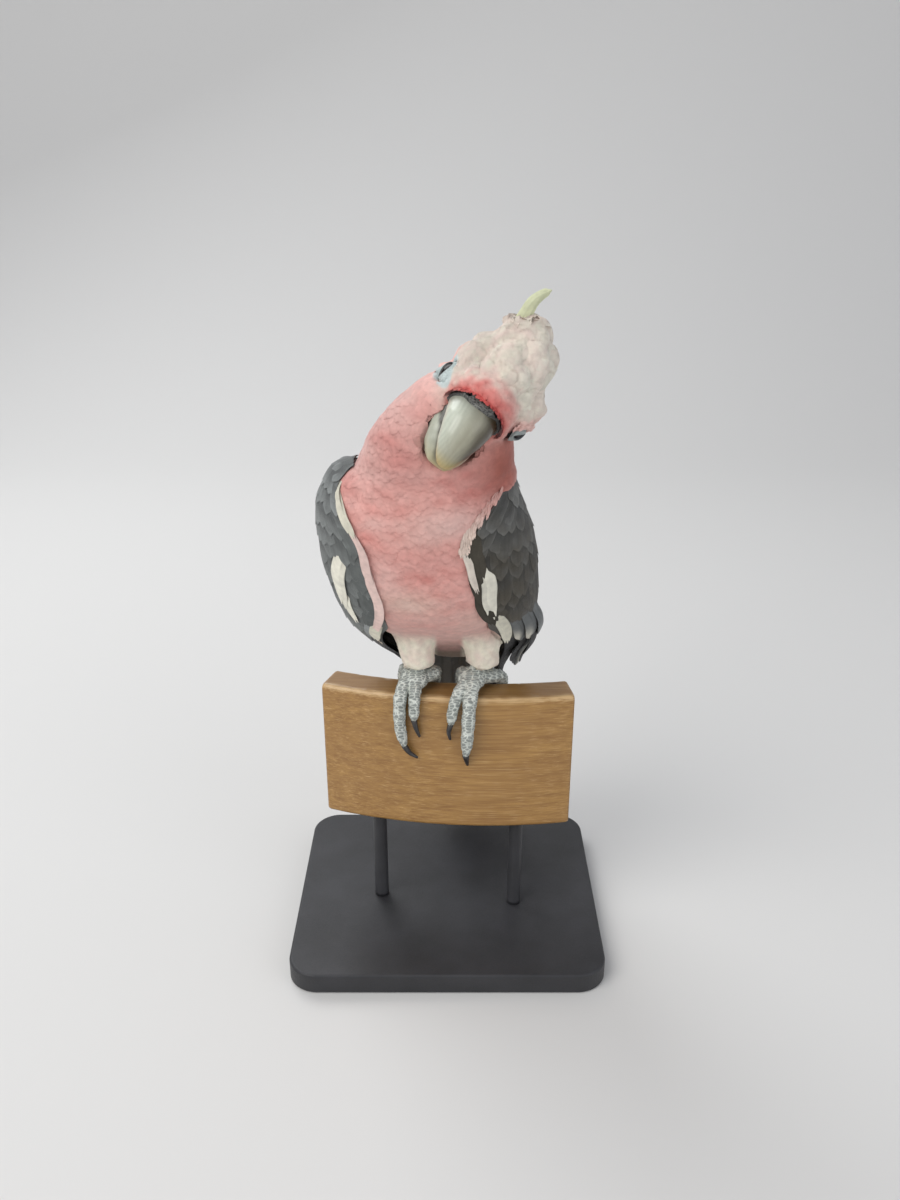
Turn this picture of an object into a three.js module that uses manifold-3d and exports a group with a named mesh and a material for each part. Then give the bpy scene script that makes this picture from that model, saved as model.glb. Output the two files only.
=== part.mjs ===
// A galah standing on a short length of curved wooden rail, carried by a plain display stand.
// Millimetres, +Z up. The origin is the middle of the stand's underside.
// The bird faces -Y, so its left is +X.
import * as THREE from "three";
import { mergeVertices } from "three/addons/utils/BufferGeometryUtils.js";
import Module from "manifold-3d";

const wasm = await Module();
wasm.setup();

// ---- Driving dimensions ----
const GAP = 0.3; // clearance between neighbouring solids
const SLIVER = 0.12; // detail smaller than this is dropped after a cut

const BASE = { width: 170, depth: 144, height: 12, corner: 16, bevel: 1.5 };
const ROD = { radius: 4, spread: 38, sides: 16 };
const RAIL = { length: 130, thickness: 18.5, height: 80, bend: 250, turn: 5.4, corner: 2.6 };
const PERCH_TOP = 150; // top of the rail above the floor
const PERCH_FORWARD = 12; // the perch lies this far in front of the base's middle

const BODY_SIDES = 20;
const WING = { proud: 1.4, tip: -107, split: 22, arc: 9 };
const TAIL = { length: 150, slope: 66.5, halfWidth: 24 };
const NECK_SPLIT = 127; // height of the cut between neck and trunk

const HEAD = { at: [14.3, -44, 161.6], size: 1.1, turn: 12.5, nod: 8, tilt: 38 };
const EYE = { radius: 5.4, left: [-2.5, 15.2, -0.2], right: [-2.3, -13.9, 0.4] };
const BILL = { centre: [6, -8], cere: 72, base: 42, tip: -37, sides: 16 };

// ---- Small helpers ----
const point = (x, y, z) => new THREE.Vector3(x, y, z);
const radians = THREE.MathUtils.degToRad;
const SIDES = { left: 1, right: -1 };

// Every field of a list of stations, smoothly between them; the list rises or falls steadily in one field.
function between(stations, key, at) {
  const rising = [...stations].sort((p, q) => p[key] - q[key]);
  const last = rising.length - 1;
  let i = 0;
  while (i < last - 1 && rising[i + 1][key] <= at) i++;
  const span = rising[i + 1][key] - rising[i][key];
  const t = THREE.MathUtils.clamp((at - rising[i][key]) / span, 0, 1);
  const slope = (field, j) => {
    const low = rising[Math.max(j - 1, 0)];
    const high = rising[Math.min(j + 1, last)];
    return (high[field] - low[field]) / (high[key] - low[key]);
  };
  const value = { [key]: at };
  for (const field of Object.keys(rising[i])) {
    if (field === key) continue;
    const from = rising[i][field];
    const to = rising[i + 1][field];
    const bend = t * (1 - t) * span;
    const straight = from + (to - from) * t;
    const mean = (to - from) / span;
    value[field] = straight + bend * ((slope(field, i) - mean) * (1 - t) - (slope(field, i + 1) - mean) * t);
  }
  return value;
}

const steps = (from, to, count) =>
  Array.from({ length: count + 1 }, (_, i) => from + ((to - from) * i) / count);

// A closed solid skinned over rings of equally many points; each end is closed by strips across its ring.
function skinned(rings) {
  const n = rings[0].length;
  const points = rings.flat();
  const faces = [];
  for (let k = 0; k < n; k++) {
    const next = (k + 1) % n;
    for (let r = 0; r + 1 < rings.length; r++) {
      const low = r * n;
      faces.push([low + k, low + next, low + next + n], [low + k, low + next + n, low + k + n]);
    }
  }
  const top = points.length - n;
  for (let k = 0; k + 1 < n - 1 - k; k++) {
    const [far, last] = [n - 2 - k, n - 1 - k];
    faces.push([k, last, far], [top + k, top + far, top + last]);
    if (far > k + 1) faces.push([k, far, k + 1], [top + k, top + k + 1, top + far]);
  }
  const volume = faces.reduce((sum, [a, b, c]) => sum + points[a].dot(points[b].clone().cross(points[c])), 0);
  const outward = volume > 0 ? faces : faces.map(([a, b, c]) => [a, c, b]);
  return new THREE.BufferGeometry().setFromPoints(points).setIndex(outward.flat());
}

// The same closed shape with every face moved out by about the distance.
function grown(geometry, distance = GAP * 1.25) {
  const shape = welded(geometry);
  const { position } = shape.attributes;
  const cornerAt = (_, i) => new THREE.Vector3().fromBufferAttribute(position, i);
  const corners = Array.from({ length: position.count }, cornerAt);
  const around = corners.map(() => []); // the normals of the faces about each corner
  const index = shape.index.array;
  for (let f = 0; f < index.length; f += 3) {
    const [a, b, c] = [index[f], index[f + 1], index[f + 2]];
    const normal = new THREE.Triangle(corners[a], corners[b], corners[c]).getNormal(point(0, 0, 0));
    for (const corner of [a, b, c]) around[corner].push(normal);
  }
  const SHARPEST = 0.45; // beyond this a sharp corner is blunted
  corners.forEach((corner, i) => {
    const way = around[i].reduce((sum, normal) => sum.add(normal), point(0, 0, 0)).normalize();
    const least = Math.min(...around[i].map((normal) => (normal.lengthSq() ? normal.dot(way) : 1)));
    corner.addScaledVector(way, distance / Math.max(least, SHARPEST));
    position.setXYZ(i, corner.x, corner.y, corner.z);
  });
  return shape;
}

function welded(geometry) {
  const bare = new THREE.BufferGeometry().setAttribute("position", geometry.getAttribute("position").clone());
  if (geometry.index) bare.setIndex(geometry.index);
  return mergeVertices(bare, 1e-4);
}

function solid(geometry) {
  const shape = welded(geometry);
  return new wasm.Manifold(
    new wasm.Mesh({
      numProp: 3,
      vertProperties: new Float32Array(shape.attributes.position.array),
      triVerts: new Uint32Array(shape.index.array),
    }),
  );
}

// The largest body that a cut or join leaves, as a three.js geometry; a final cut also drops its slivers.
function shapeOf(manifold, sliver = 0.01) {
  const bodies = manifold.asOriginal().simplify(sliver).decompose();
  const largest = bodies.reduce((a, b) => (b.volume() > a.volume() ? b : a));
  const { vertProperties, triVerts } = largest.getMesh();
  const geometry = new THREE.BufferGeometry();
  geometry.setAttribute("position", new THREE.BufferAttribute(new Float32Array(vertProperties), 3));
  geometry.setIndex([...triVerts]);
  return geometry;
}

// One shape less the room its neighbours need.
const cut = (geometry, ...neighbours) =>
  shapeOf(neighbours.reduce((rest, other) => rest.subtract(solid(grown(other))), solid(geometry)), SLIVER);
const joined = (...shapes) => shapeOf(shapes.map(solid).reduce((all, next) => all.add(next)));

// The part of a shape on one side of a plane, leaving half the gap.
function beyond(geometry, normal, offset) {
  return shapeOf(solid(geometry).trimByPlane(normal, offset + GAP / 2));
}

// An ellipse of points about a middle, spanned by two half axes.
function ellipse(middle, across, along, count) {
  return steps(0, 2 * Math.PI, count)
    .slice(0, count)
    .map((t) => middle.clone().addScaledVector(across, Math.cos(t)).addScaledVector(along, Math.sin(t)));
}

// A tube along a smooth path; radius(t) gives its half thickness from 0 at the start to 1 at the end.
function tube(path, radius, count, sides, flatness = 1) {
  const curve = new THREE.CatmullRomCurve3(path.map((p) => point(...p)));
  const frames = curve.computeFrenetFrames(count);
  return skinned(
    steps(0, 1, count).map((t, i) =>
      ellipse(
        curve.getPointAt(t),
        frames.normals[i].clone().multiplyScalar(radius(t)),
        frames.binormals[i].clone().multiplyScalar(radius(t) * flatness),
        sides,
      ),
    ),
  );
}

// A rounded body: the smooth outer envelope of ellipsoids, seen from one middle point.
function lobed(middle, lobes, detail) {
  const sphere = welded(new THREE.IcosahedronGeometry(1, detail));
  const { position } = sphere.attributes;
  const SHARPNESS = 14;
  for (let i = 0; i < position.count; i++) {
    const way = new THREE.Vector3().fromBufferAttribute(position, i).normalize();
    let sum = 0;
    for (const { at, size } of lobes) {
      const axes = point(...size);
      const offset = point(...at).sub(middle).divide(axes);
      const ray = way.clone().divide(axes);
      const half = ray.dot(offset);
      const inside = half * half - ray.lengthSq() * (offset.lengthSq() - 1);
      if (inside > 0) sum += Math.max((half + Math.sqrt(inside)) / ray.lengthSq(), 0) ** SHARPNESS;
    }
    const reach = sum ** (1 / SHARPNESS);
    position.setXYZ(i, middle.x + way.x * reach, middle.y + way.y * reach, middle.z + way.z * reach);
  }
  return sphere;
}

// A capped crest of a superellipse: rounds the ends of a run from 0 to 1.
const dome = (t, power) => Math.max(1 - Math.abs(2 * t - 1) ** power, 0) ** (1 / power);

// ---- Body: heights are above the perch, the folded wings included ----
const TORSO = [
  { z: 134, x: -5, a: 24, y: -19, b: 21 },
  { z: 129, x: -5.5, a: 35.5, y: -18, b: 31 },
  { z: 120, x: -11, a: 42, y: -14.5, b: 35 },
  { z: 106, x: -12.5, a: 48.5, y: -10, b: 39 },
  { z: 92, x: -10.5, a: 51.5, y: -5, b: 41 },
  { z: 76, x: -8.5, a: 52.5, y: 0, b: 41 },
  { z: 54, x: -5.6, a: 51, y: 8, b: 38.5 },
  { z: 33, x: -3.2, a: 48.2, y: 20, b: 30 },
  { z: 17, x: 0, a: 40.5, y: 28, b: 23 },
  { z: 9, x: 3.4, a: 32, y: 33, b: 19 },
  { z: 0, x: 5.2, a: 28, y: 38, b: 16 },
  { z: -20, x: 7, a: 22.5, y: 48, b: 13 },
  { z: -60, x: 10.5, a: 20, y: 68, b: 10 },
  { z: -107, x: 13, a: 17, y: 90, b: 7 },
];

// A point of the body's envelope: angle 0 is the bird's side, -90 the breast and 90 the back.
function onTorso(z, side, angle, proud) {
  const ring = between(TORSO, "z", z);
  const t = radians(angle);
  return point(
    ring.x + side * (ring.a + proud) * Math.cos(t),
    ring.y + (ring.b + proud) * Math.sin(t),
    z,
  );
}

function torsoShape() {
  const TRUNK = { top: 134, bottom: 4, rings: 12 };
  const rings = steps(0, 1, TRUNK.rings).map((t) => {
    const z = THREE.MathUtils.lerp(TRUNK.bottom, TRUNK.top, t);
    const ring = between(TORSO, "z", z);
    const under = THREE.MathUtils.smoothstep(z, 0, 46); // the belly tucks in above the tail
    const a = ring.a * THREE.MathUtils.lerp(0.45, 1, under);
    const b = ring.b * THREE.MathUtils.lerp(0.55, 1, under);
    return ellipse(point(ring.x, ring.y + (ring.b - b) * 0.2, z), point(a, 0, 0), point(0, b, 0), BODY_SIDES);
  });
  return skinned(rings);
}

const NECK = [
  { z: 108, x: -8, a: 28, y: -13, b: 24, lean: 0 },
  { z: 118, x: -7, a: 34.5, y: -16, b: 31, lean: 4 },
  { z: 129, x: -5, a: 36, y: -19.5, b: 31.5, lean: 8 },
  { z: 142, x: -2, a: 33, y: -26, b: 30, lean: 14 },
  { z: 154, x: 2.5, a: 28, y: -30, b: 27, lean: 20 },
  { z: 165, x: 7.5, a: 21, y: -33, b: 22, lean: 24 },
  { z: 173, x: 10, a: 13, y: -35, b: 14, lean: 26 },
];

function neckShape() {
  return skinned(
    NECK.map(({ z, x, a, y, b, lean }) => {
      const t = radians(lean);
      const across = point(a, 0, -a * Math.sin(t) * 0.4);
      return ellipse(point(x, y, z), across, point(0, b * Math.cos(t), 0), BODY_SIDES);
    }),
  );
}

// A folded wing: a curved plate on the body's side, between a front and a back edge given as angles.
const WING_EDGES = {
  left: [
    { z: 126, front: -14, back: 16, thick: 3 },
    { z: 118, front: -38, back: 44, thick: 5 },
    { z: 106, front: -57, back: 52, thick: 6 },
    { z: 94, front: -67, back: 56, thick: 6.5 },
    { z: 78, front: -67, back: 61, thick: 6.5 },
    { z: 60, front: -64, back: 68, thick: 6 },
    { z: 44, front: -57, back: 77, thick: 5.5 },
    { z: 30, front: -50, back: 84, thick: 5 },
    { z: 14, front: -42, back: 85, thick: 4.5 },
    { z: 0, front: -36, back: 84, thick: 4 },
    { z: -20, front: -20, back: 83, thick: 3.6 },
    { z: -60, front: 18, back: 82, thick: 3 },
    { z: -92, front: 42, back: 80, thick: 2.4 },
    { z: -107, front: 58, back: 76, thick: 1.6 },
  ],
};
WING_EDGES.right = WING_EDGES.left.map((edge) => {
  const turned = THREE.MathUtils.smoothstep(edge.z, 46, 90); // the right wing shows less from in front
  return { ...edge, front: edge.front + 9 * turned };
});

function wingShape(name) {
  const EDGE = 0.6; // half thickness at the wing's edges
  const heights = [...steps(126, 118, 1), ...steps(106, 0, 8), ...steps(-20, WING.tip, 4)];
  return skinned(
    heights.map((z) => {
      const edge = between(WING_EDGES[name], "z", z);
      const run = steps(0, 1, WING.arc).map((t) => ({
        angle: THREE.MathUtils.lerp(edge.front, edge.back, t),
        depth: EDGE + (edge.thick - EDGE) * dome(t, 2.6),
      }));
      const outer = run.map(({ angle }) => onTorso(z, SIDES[name], angle, WING.proud));
      const inner = run.map(({ angle, depth }) => onTorso(z, SIDES[name], angle, WING.proud - depth - EDGE));
      return [...outer, ...inner.reverse()];
    }),
  );
}

function tailShape() {
  const slope = radians(TAIL.slope);
  const way = point(0.055, Math.cos(slope), -Math.sin(slope)).normalize();
  const back = point(0, Math.sin(slope), Math.cos(slope));
  const root = point(6, 35.5, 14);
  const profile = [
    { t: 0, a: 15, b: 8 },
    { t: 0.12, a: 18, b: 7 },
    { t: 0.3, a: 20, b: 5 },
    { t: 0.6, a: 22.5, b: 3.4 },
    { t: 0.9, a: TAIL.halfWidth, b: 2.2 },
    { t: 0.97, a: 21.5, b: 1.6 },
    { t: 1, a: 16, b: 1 },
  ];
  return skinned(
    profile.map(({ t, a, b }) =>
      ellipse(
        root.clone().addScaledVector(way, t * TAIL.length),
        point(a, 0, 0),
        back.clone().multiplyScalar(b),
        18,
      ),
    ),
  );
}

// ---- Legs and feet ----
// The rail's middle line bends away from the bird's front and runs at a slight turn.
const railMiddle = (x) => (x * x) / (2 * RAIL.bend) - x * Math.tan(radians(RAIL.turn));

const LEGS = {
  left: {
    top: [16, 9, 50], knee: [17, 5, 30], ankle: [19.5, 1.5, 12.3],
    width: 11.4, foot: [13, 0.5, 6.6],
  },
  right: {
    top: [-15.5, 9, 50], knee: [-16.5, 5, 30], ankle: [-14, 1.5, 12.3],
    width: 12.4, foot: [-17, 0.5, 6.6],
  },
};

function thighShape({ top, knee, ankle, width }) {
  return tube([top, knee, ankle], (t) => THREE.MathUtils.lerp(width + 1.5, 8.6, t ** 0.8), 5, 16);
}

function footShape({ foot, ankle }) {
  const [x, y, z] = foot;
  const sole = lobed(point(x, y, z), [{ at: foot, size: [7.6, 8.6, 5.8] }], 2);
  const bone = [[x, y, z], [(ankle[0] + x) / 2, y + 0.6, 13], [ankle[0], y + 3, 22]];
  const shank = tube(bone, () => 4, 3, 8);
  return joined(sole, shank);
}

// Each toe's path over the rail and its claw's, as points [x, behind the rail's middle line, above its top],
// with the toe's half thickness at root and tip.
const TOES = {
  left: {
    inner_front: {
      path: [[9.5, -4.2, 6.6], [5.6, -10.4, 3], [3.2, -12.6, -4], [1.9, -12.5, -13.6]],
      claw: [[0.8, -12, -18.6], [1.6, -11, -23.6]],
      root: 3.4, tip: 2.7,
    },
    outer_front: {
      path: [[13.6, -4.2, 6.8], [12, -11.2, 2.6], [11.2, -13.6, -7], [10.6, -13.6, -20], [9.8, -12.6, -32]],
      claw: [[10.2, -11.6, -35.8], [10.8, -10.9, -39]],
      root: 4, tip: 3,
    },
    inner_back: {
      path: [[10, 3.4, 6.8], [8.6, 7, 6.4], [7.6, 12.4, 2.4], [7, 12.5, -5]],
      claw: [[6.6, 12.6, -10.5], [6.8, 11.4, -14.5]],
      root: 4, tip: 2.7,
    },
    outer_back: {
      path: [[17.5, 3, 6.6], [23.5, 5.4, 5.8], [28, 9.8, 3.6], [29.6, 12.9, -3], [29.8, 12.6, -13]],
      claw: [[29.8, 12.4, -18.5], [29.4, 11.2, -23]],
      root: 4, tip: 2.8,
    },
  },
  right: {
    inner_front: {
      path: [[-15.4, -5.2, 6.6], [-16.6, -10.8, 3], [-17, -12.8, -3.5], [-17.3, -12.5, -12.4]],
      claw: [[-16.2, -12.2, -17.6], [-14.5, -11, -23]],
      root: 3.4, tip: 2.7,
    },
    outer_front: {
      path: [
        [-21.5, -6.2, 6.2], [-23.8, -11.4, 1.8], [-24.6, -13.2, -6], [-24.6, -13, -17], [-22.6, -12.6, -28.4],
      ],
      claw: [[-19.8, -11.8, -33], [-15.8, -11, -36]],
      root: 3.7, tip: 2.8,
    },
    inner_back: {
      path: [[-12.5, 1.4, 6.6], [-8, 2.4, 7], [-6.4, 8.6, 6.2], [-6.6, 13.2, -1], [-6.8, 12.7, -6]],
      claw: [[-7, 12.4, -11.5], [-6.8, 11.2, -15.5]],
      root: 4, tip: 2.9,
    },
    outer_back: {
      path: [[-20, 1.4, 6.8], [-21.6, 6.4, 6.4], [-22.8, 11.8, 3.4], [-23.4, 13, -5], [-23, 12.6, -15]],
      claw: [[-22.6, 12.4, -20.5], [-22.2, 11.2, -25]],
      root: 4, tip: 2.8,
    },
  },
};
const onRail = ([x, behind, height]) => [x, railMiddle(x) + behind, height];

function toeShape({ path, root, tip }) {
  const JOINTS = 4;
  const pad = (t) => 1 + 0.05 * Math.cos(2 * Math.PI * JOINTS * t);
  const half = (t) => THREE.MathUtils.lerp(root, tip, t) * pad(t) * (t > 0.99 ? 0.5 : 1);
  return tube(path.map(onRail), half, 8, 8);
}

function clawShape({ path, claw, tip }) {
  const half = (t) => THREE.MathUtils.lerp(tip * 0.52, 0.28, t);
  return tube([path.at(-1), ...claw].map(onRail), half, 5, 7, 0.9);
}

// ---- Head, in its own frame: X forward, Y to the bird's left, Z up, origin midway between the eyes ----
const headFrame = new THREE.Matrix4().compose(
  point(...HEAD.at),
  new THREE.Quaternion().setFromEuler(
    new THREE.Euler(radians(-HEAD.tilt), radians(HEAD.nod), radians(-90 - HEAD.turn), "ZYX"),
  ),
  point(HEAD.size, HEAD.size, HEAD.size),
);
const placed = (geometry) => geometry.applyMatrix4(headFrame);

function headShape() {
  const pair = (at, size) => Object.values(SIDES).map((side) => ({ at: [at[0], side * at[1], at[2]], size }));
  return placed(
    lobed(
      point(-3, 0, -1),
      [
        { at: [-7, 0, 1.5], size: [22, 17.3, 18.5] },
        { at: [4, 0, 6], size: [12.5, 14, 12] },
        { at: [-15, 0, -2], size: [15, 19.5, 17] },
        { at: [4, 0, -13], size: [11, 12, 9] },
        { at: [-8, 6, 6], size: [13, 13, 13] },
        { at: [-11, -9, 10], size: [12, 10.5, 12] },
        ...pair([0, 7.5, 1], [11, 10, 11]),
        { at: [-8, -9, -5], size: [12.5, 12, 12.5] },
        { at: [-8, 8, -4], size: [12.5, 11, 11] },
        { at: [-7, 11, 6], size: [12, 13.5, 12] }, // feathers bulge over its left eye
      ],
      4,
    ),
  );
}

function crestShape() {
  return placed(
    lobed(
      point(-10, 2, 19),
      [
        { at: [-14, -0.5, 24.5], size: [14, 12, 12.5] },
        { at: [-3, 1.5, 16.5], size: [13, 13, 9.5] },
        { at: [-12, 8.5, 19.5], size: [13, 9.5, 11.5] },
      ],
      3,
    ),
  );
}

function plumeShape() {
  const path = [[-12, -6, 27], [-13.6, -6.8, 33], [-16, -7.4, 38.6], [-18, -6.2, 42.2], [-20, -4.5, 45]];
  return placed(tube(path, (t) => THREE.MathUtils.lerp(3.4, 1.3, t ** 1.3), 7, 8, 0.45));
}

// The upper mandible and the cere are swept about one centre, from the forehead round to the hooked tip.
const BILL_SECTIONS = [
  { angle: 74, outer: 16.2, inner: 2, half: 10.8, side: 0 },
  { angle: 51, outer: 17.2, inner: 2.6, half: 10.5, side: 0 },
  { angle: 28, outer: 19.8, inner: 3.4, half: 9.9, side: 0.2 },
  { angle: 6, outer: 21.4, inner: 6, half: 8.8, side: 0.5 },
  { angle: -12, outer: 22, inner: 10.6, half: 7.1, side: 0.8 },
  { angle: -26, outer: 22, inner: 15.4, half: 5, side: 1.5 },
  { angle: -33, outer: 21.7, inner: 18, half: 3.3, side: 1.9 },
  { angle: BILL.tip, outer: 21, inner: 19.2, half: 1.8, side: 2.1 },
];

function billRing(angle, proud) {
  const { outer, inner, half, side } = between(BILL_SECTIONS, "angle", angle);
  const WIDEST = 0.3; // how far up its side the mandible is widest
  const waist = inner + (outer - inner) * WIDEST;
  const t = radians(angle);
  return steps(0, 360, BILL.sides)
    .slice(0, BILL.sides)
    .map((turn) => {
      const [over, up] = [Math.cos(radians(turn)), Math.sin(radians(turn))];
      const depth = up > 0 ? outer + proud - waist : waist - inner;
      const r = waist + depth * Math.sign(up) * Math.abs(up) ** (up > 0 ? 1 : 0.7);
      const y = side + (half + proud) * Math.sign(over) * Math.abs(over) ** 0.85;
      return point(BILL.centre[0] + r * Math.cos(t), y, BILL.centre[1] + r * Math.sin(t));
    });
}

const swept = (angles, proud) => placed(skinned(angles.map((angle) => billRing(angle, proud))));
const upperBillShape = () => swept(steps(BILL.base, BILL.tip, 10), 0);
const cereShape = () => swept(steps(BILL.cere, BILL.base + 1.2, 4), 0.7);

// The lower mandible is a broad scoop that runs down and forward behind the upper one.
function lowerBillShape() {
  const sections = [
    { at: [3, -1.4, -9.5], half: 11.2, deep: 6.6 },
    { at: [8, -1.2, -15.2], half: 10.8, deep: 6.2 },
    { at: [12.5, -0.4, -19.6], half: 8.9, deep: 4.6 },
    { at: [15.6, 0.2, -22.6], half: 6.2, deep: 2.8 },
    { at: [17.2, 0.6, -24.2], half: 3.8, deep: 1.2 },
  ];
  const down = radians(42); // the way it points, below level
  const along = (deep) => point(Math.sin(down) * deep, 0, Math.cos(down) * deep);
  return placed(
    skinned(sections.map(({ at, half, deep }) => ellipse(point(...at), point(0, half, 0), along(deep), 16))),
  );
}

function eyeShape(side) {
  return placed(new THREE.IcosahedronGeometry(EYE.radius, 2).translate(...EYE[side]));
}

// ---- Perch and stand ----
function railShape() {
  const turn = radians(RAIL.turn);
  const back = point(Math.sin(turn), Math.cos(turn), 0);
  const across = point(Math.cos(turn), -Math.sin(turn), 0);
  const spread = RAIL.length / 2 / RAIL.bend;
  const corners = [
    [-0.5, 0, 90], [0.5, 0, 0], [0.5, -1, -90], [-0.5, -1, -180],
  ];
  const rings = steps(-spread, spread, 10).map((arc) => {
    const inward = back.clone().multiplyScalar(Math.cos(arc)).addScaledVector(across, -Math.sin(arc));
    const middle = back.clone().multiplyScalar(RAIL.bend).addScaledVector(inward, -RAIL.bend);
    return corners.flatMap(([u, v, start]) =>
      steps(start + 90, start, 3).map((turned) => {
        const t = radians(turned);
        const depth = u * RAIL.thickness - Math.sign(u) * RAIL.corner + RAIL.corner * Math.cos(t);
        const height = v * RAIL.height + (v ? RAIL.corner : -RAIL.corner) + RAIL.corner * Math.sin(t);
        return middle.clone().addScaledVector(inward, depth).add(point(0, 0, height));
      }),
    );
  });
  return skinned(rings);
}

function baseShape() {
  const { width, depth, height, corner, bevel } = BASE;
  const [w, d] = [width / 2 - bevel, depth / 2 - bevel];
  const outline = new THREE.Shape();
  outline.moveTo(-w + corner, -d);
  for (const [x, y, start] of [[w, -d, -90], [w, d, 0], [-w, d, 90], [-w, -d, 180]])
    outline.absarc(
      x - Math.sign(x) * corner, y - Math.sign(y) * corner, corner,
      radians(start), radians(start + 90), false,
    );
  const rounding = { bevelSize: bevel, bevelThickness: bevel, bevelSegments: 1, curveSegments: 4 };
  const plate = new THREE.ExtrudeGeometry(outline, { depth: height - bevel, ...rounding });
  const raised = solid(plate.translate(0, 0, bevel));
  return shapeOf(raised.trimByPlane([0, 0, -1], -height).trimByPlane([0, 0, 1], 0));
}

function rodShape(x, y, bottom, top) {
  const rod = new THREE.CylinderGeometry(ROD.radius, ROD.radius, top - bottom, ROD.sides);
  return rod.rotateX(Math.PI / 2).translate(x, y, (top + bottom) / 2);
}

// ---- Materials ----
const finish = (color, roughness) => new THREE.MeshStandardMaterial({ color, roughness, metalness: 0 });
const PINK = finish(0xd98d8a, 0.85);
const PALE_PINK = finish(0xe9cdc8, 0.85);
const GREY = finish(0x7f858a, 0.8);
const DARK_GREY = finish(0x4a4c50, 0.75);
const PALE_YELLOW = finish(0xe3e6b8, 0.8);
const HORN = finish(0xa8a68d, 0.35);
const CERE_GREY = finish(0x54585a, 0.7);
const EYE_DARK = finish(0x120d0c, 0.08);
const FOOT_GREY = finish(0x8e9591, 0.7);
const CLAW_DARK = finish(0x26262a, 0.35);
const WOOD = finish(0xa9763f, 0.45);
const STAND_PAINT = finish(0x2d2d2f, 0.5);

// ---- Assembly ----
const model = new THREE.Group();
const onPerch = new THREE.Group();
onPerch.position.set(0, -PERCH_FORWARD, PERCH_TOP);
model.add(onPerch);

function add(group, name, geometry, material) {
  const mesh = new THREE.Mesh(geometry, material);
  mesh.name = name;
  group.add(mesh);
}

// Stand: a plate, two rods and the length of rail.
const rail = railShape();
const rodTop = PERCH_TOP - RAIL.height - GAP;
add(model, "stand_base", baseShape(), STAND_PAINT);
for (const [name, side] of Object.entries(SIDES)) {
  const x = side * ROD.spread;
  const y = railMiddle(x) - PERCH_FORWARD;
  add(model, `stand_rod_${name}`, rodShape(x, y, BASE.height + GAP, rodTop), STAND_PAINT);
}
add(onPerch, "perch_rail", rail, WOOD);

// Head group: hard pieces first, then the feathered shapes that give them room.
const eyes = Object.fromEntries(Object.keys(SIDES).map((side) => [side, eyeShape(side)]));
const upperBill = upperBillShape();
const cere = cut(cereShape(), upperBill);
const lowerBill = cut(lowerBillShape(), upperBill, cere);
const hard = [upperBill, lowerBillShape(), cereShape()];
const head = cut(headShape(), ...hard, eyes.left, eyes.right);
const plume = plumeShape();
const crest = cut(crestShape(), headShape(), plume, eyes.left, eyes.right);
add(onPerch, "bill_upper", upperBill, HORN);
add(onPerch, "bill_lower", lowerBill, HORN);
add(onPerch, "cere", cere, CERE_GREY);
for (const name of Object.keys(SIDES)) add(onPerch, `eye_${name}`, eyes[name], EYE_DARK);
add(onPerch, "head", head, PALE_PINK);
add(onPerch, "crest", crest, PALE_PINK);
add(onPerch, "crest_plume", cut(plume, headShape()), PALE_YELLOW);

// Legs, then wings, then the torso that they are let into.
const feet = {};
const thighs = {};
for (const [side, leg] of Object.entries(LEGS)) {
  feet[side] = cut(footShape(leg), rail);
  thighs[side] = cut(thighShape(leg), feet[side], rail);
  add(onPerch, `foot_${side}`, feet[side], FOOT_GREY);
  add(onPerch, `thigh_${side}`, thighs[side], PALE_PINK);
  const taken = [feet[side], thighs[side], rail];
  for (const [toe, form] of Object.entries(TOES[side])) {
    const shape = cut(toeShape(form), ...taken);
    taken.push(shape);
    add(onPerch, `toe_${side}_${toe}`, shape, FOOT_GREY);
    const claw = cut(clawShape(form), ...taken);
    taken.push(claw);
    add(onPerch, `claw_${side}_${toe}`, claw, CLAW_DARK);
  }
}

const tail = tailShape();
const wings = {};
for (const side of Object.keys(SIDES)) {
  wings[side] = cut(wingShape(side), thighs[side]);
  add(onPerch, `wing_${side}`, beyond(wings[side], [0, 0, 1], WING.split), GREY);
  add(onPerch, `wing_tip_${side}`, beyond(wings[side], [0, 0, -1], -WING.split), DARK_GREY);
}
const torso = joined(torsoShape(), neckShape());
const around = [wings.left, wings.right, thighs.left, thighs.right, headShape(), ...hard];
const trunk = cut(beyond(torso, [0, 0, -1], -NECK_SPLIT), ...around);
const neck = cut(beyond(torso, [0, 0, 1], NECK_SPLIT), ...around, crest);
add(onPerch, "trunk", trunk, PINK);
add(onPerch, "neck", neck, PINK);
add(onPerch, "tail", cut(tail, trunk, wings.left, wings.right, rail), DARK_GREY);

export default model;
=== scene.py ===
"""A galah on a short length of wooden rail: its skin, plumage, bill, eyes, feet, perch and stand.

Feather work is in millimetres from the middle of the perch's top, as in the part's own source; the meshes
are in metres. The bird faces -Y, its left is +X, and +Z is up.
"""

import math

import bmesh
import bpy
import numpy as np
from mathutils import Matrix, Vector
from mathutils.bvhtree import BVHTree

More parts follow.
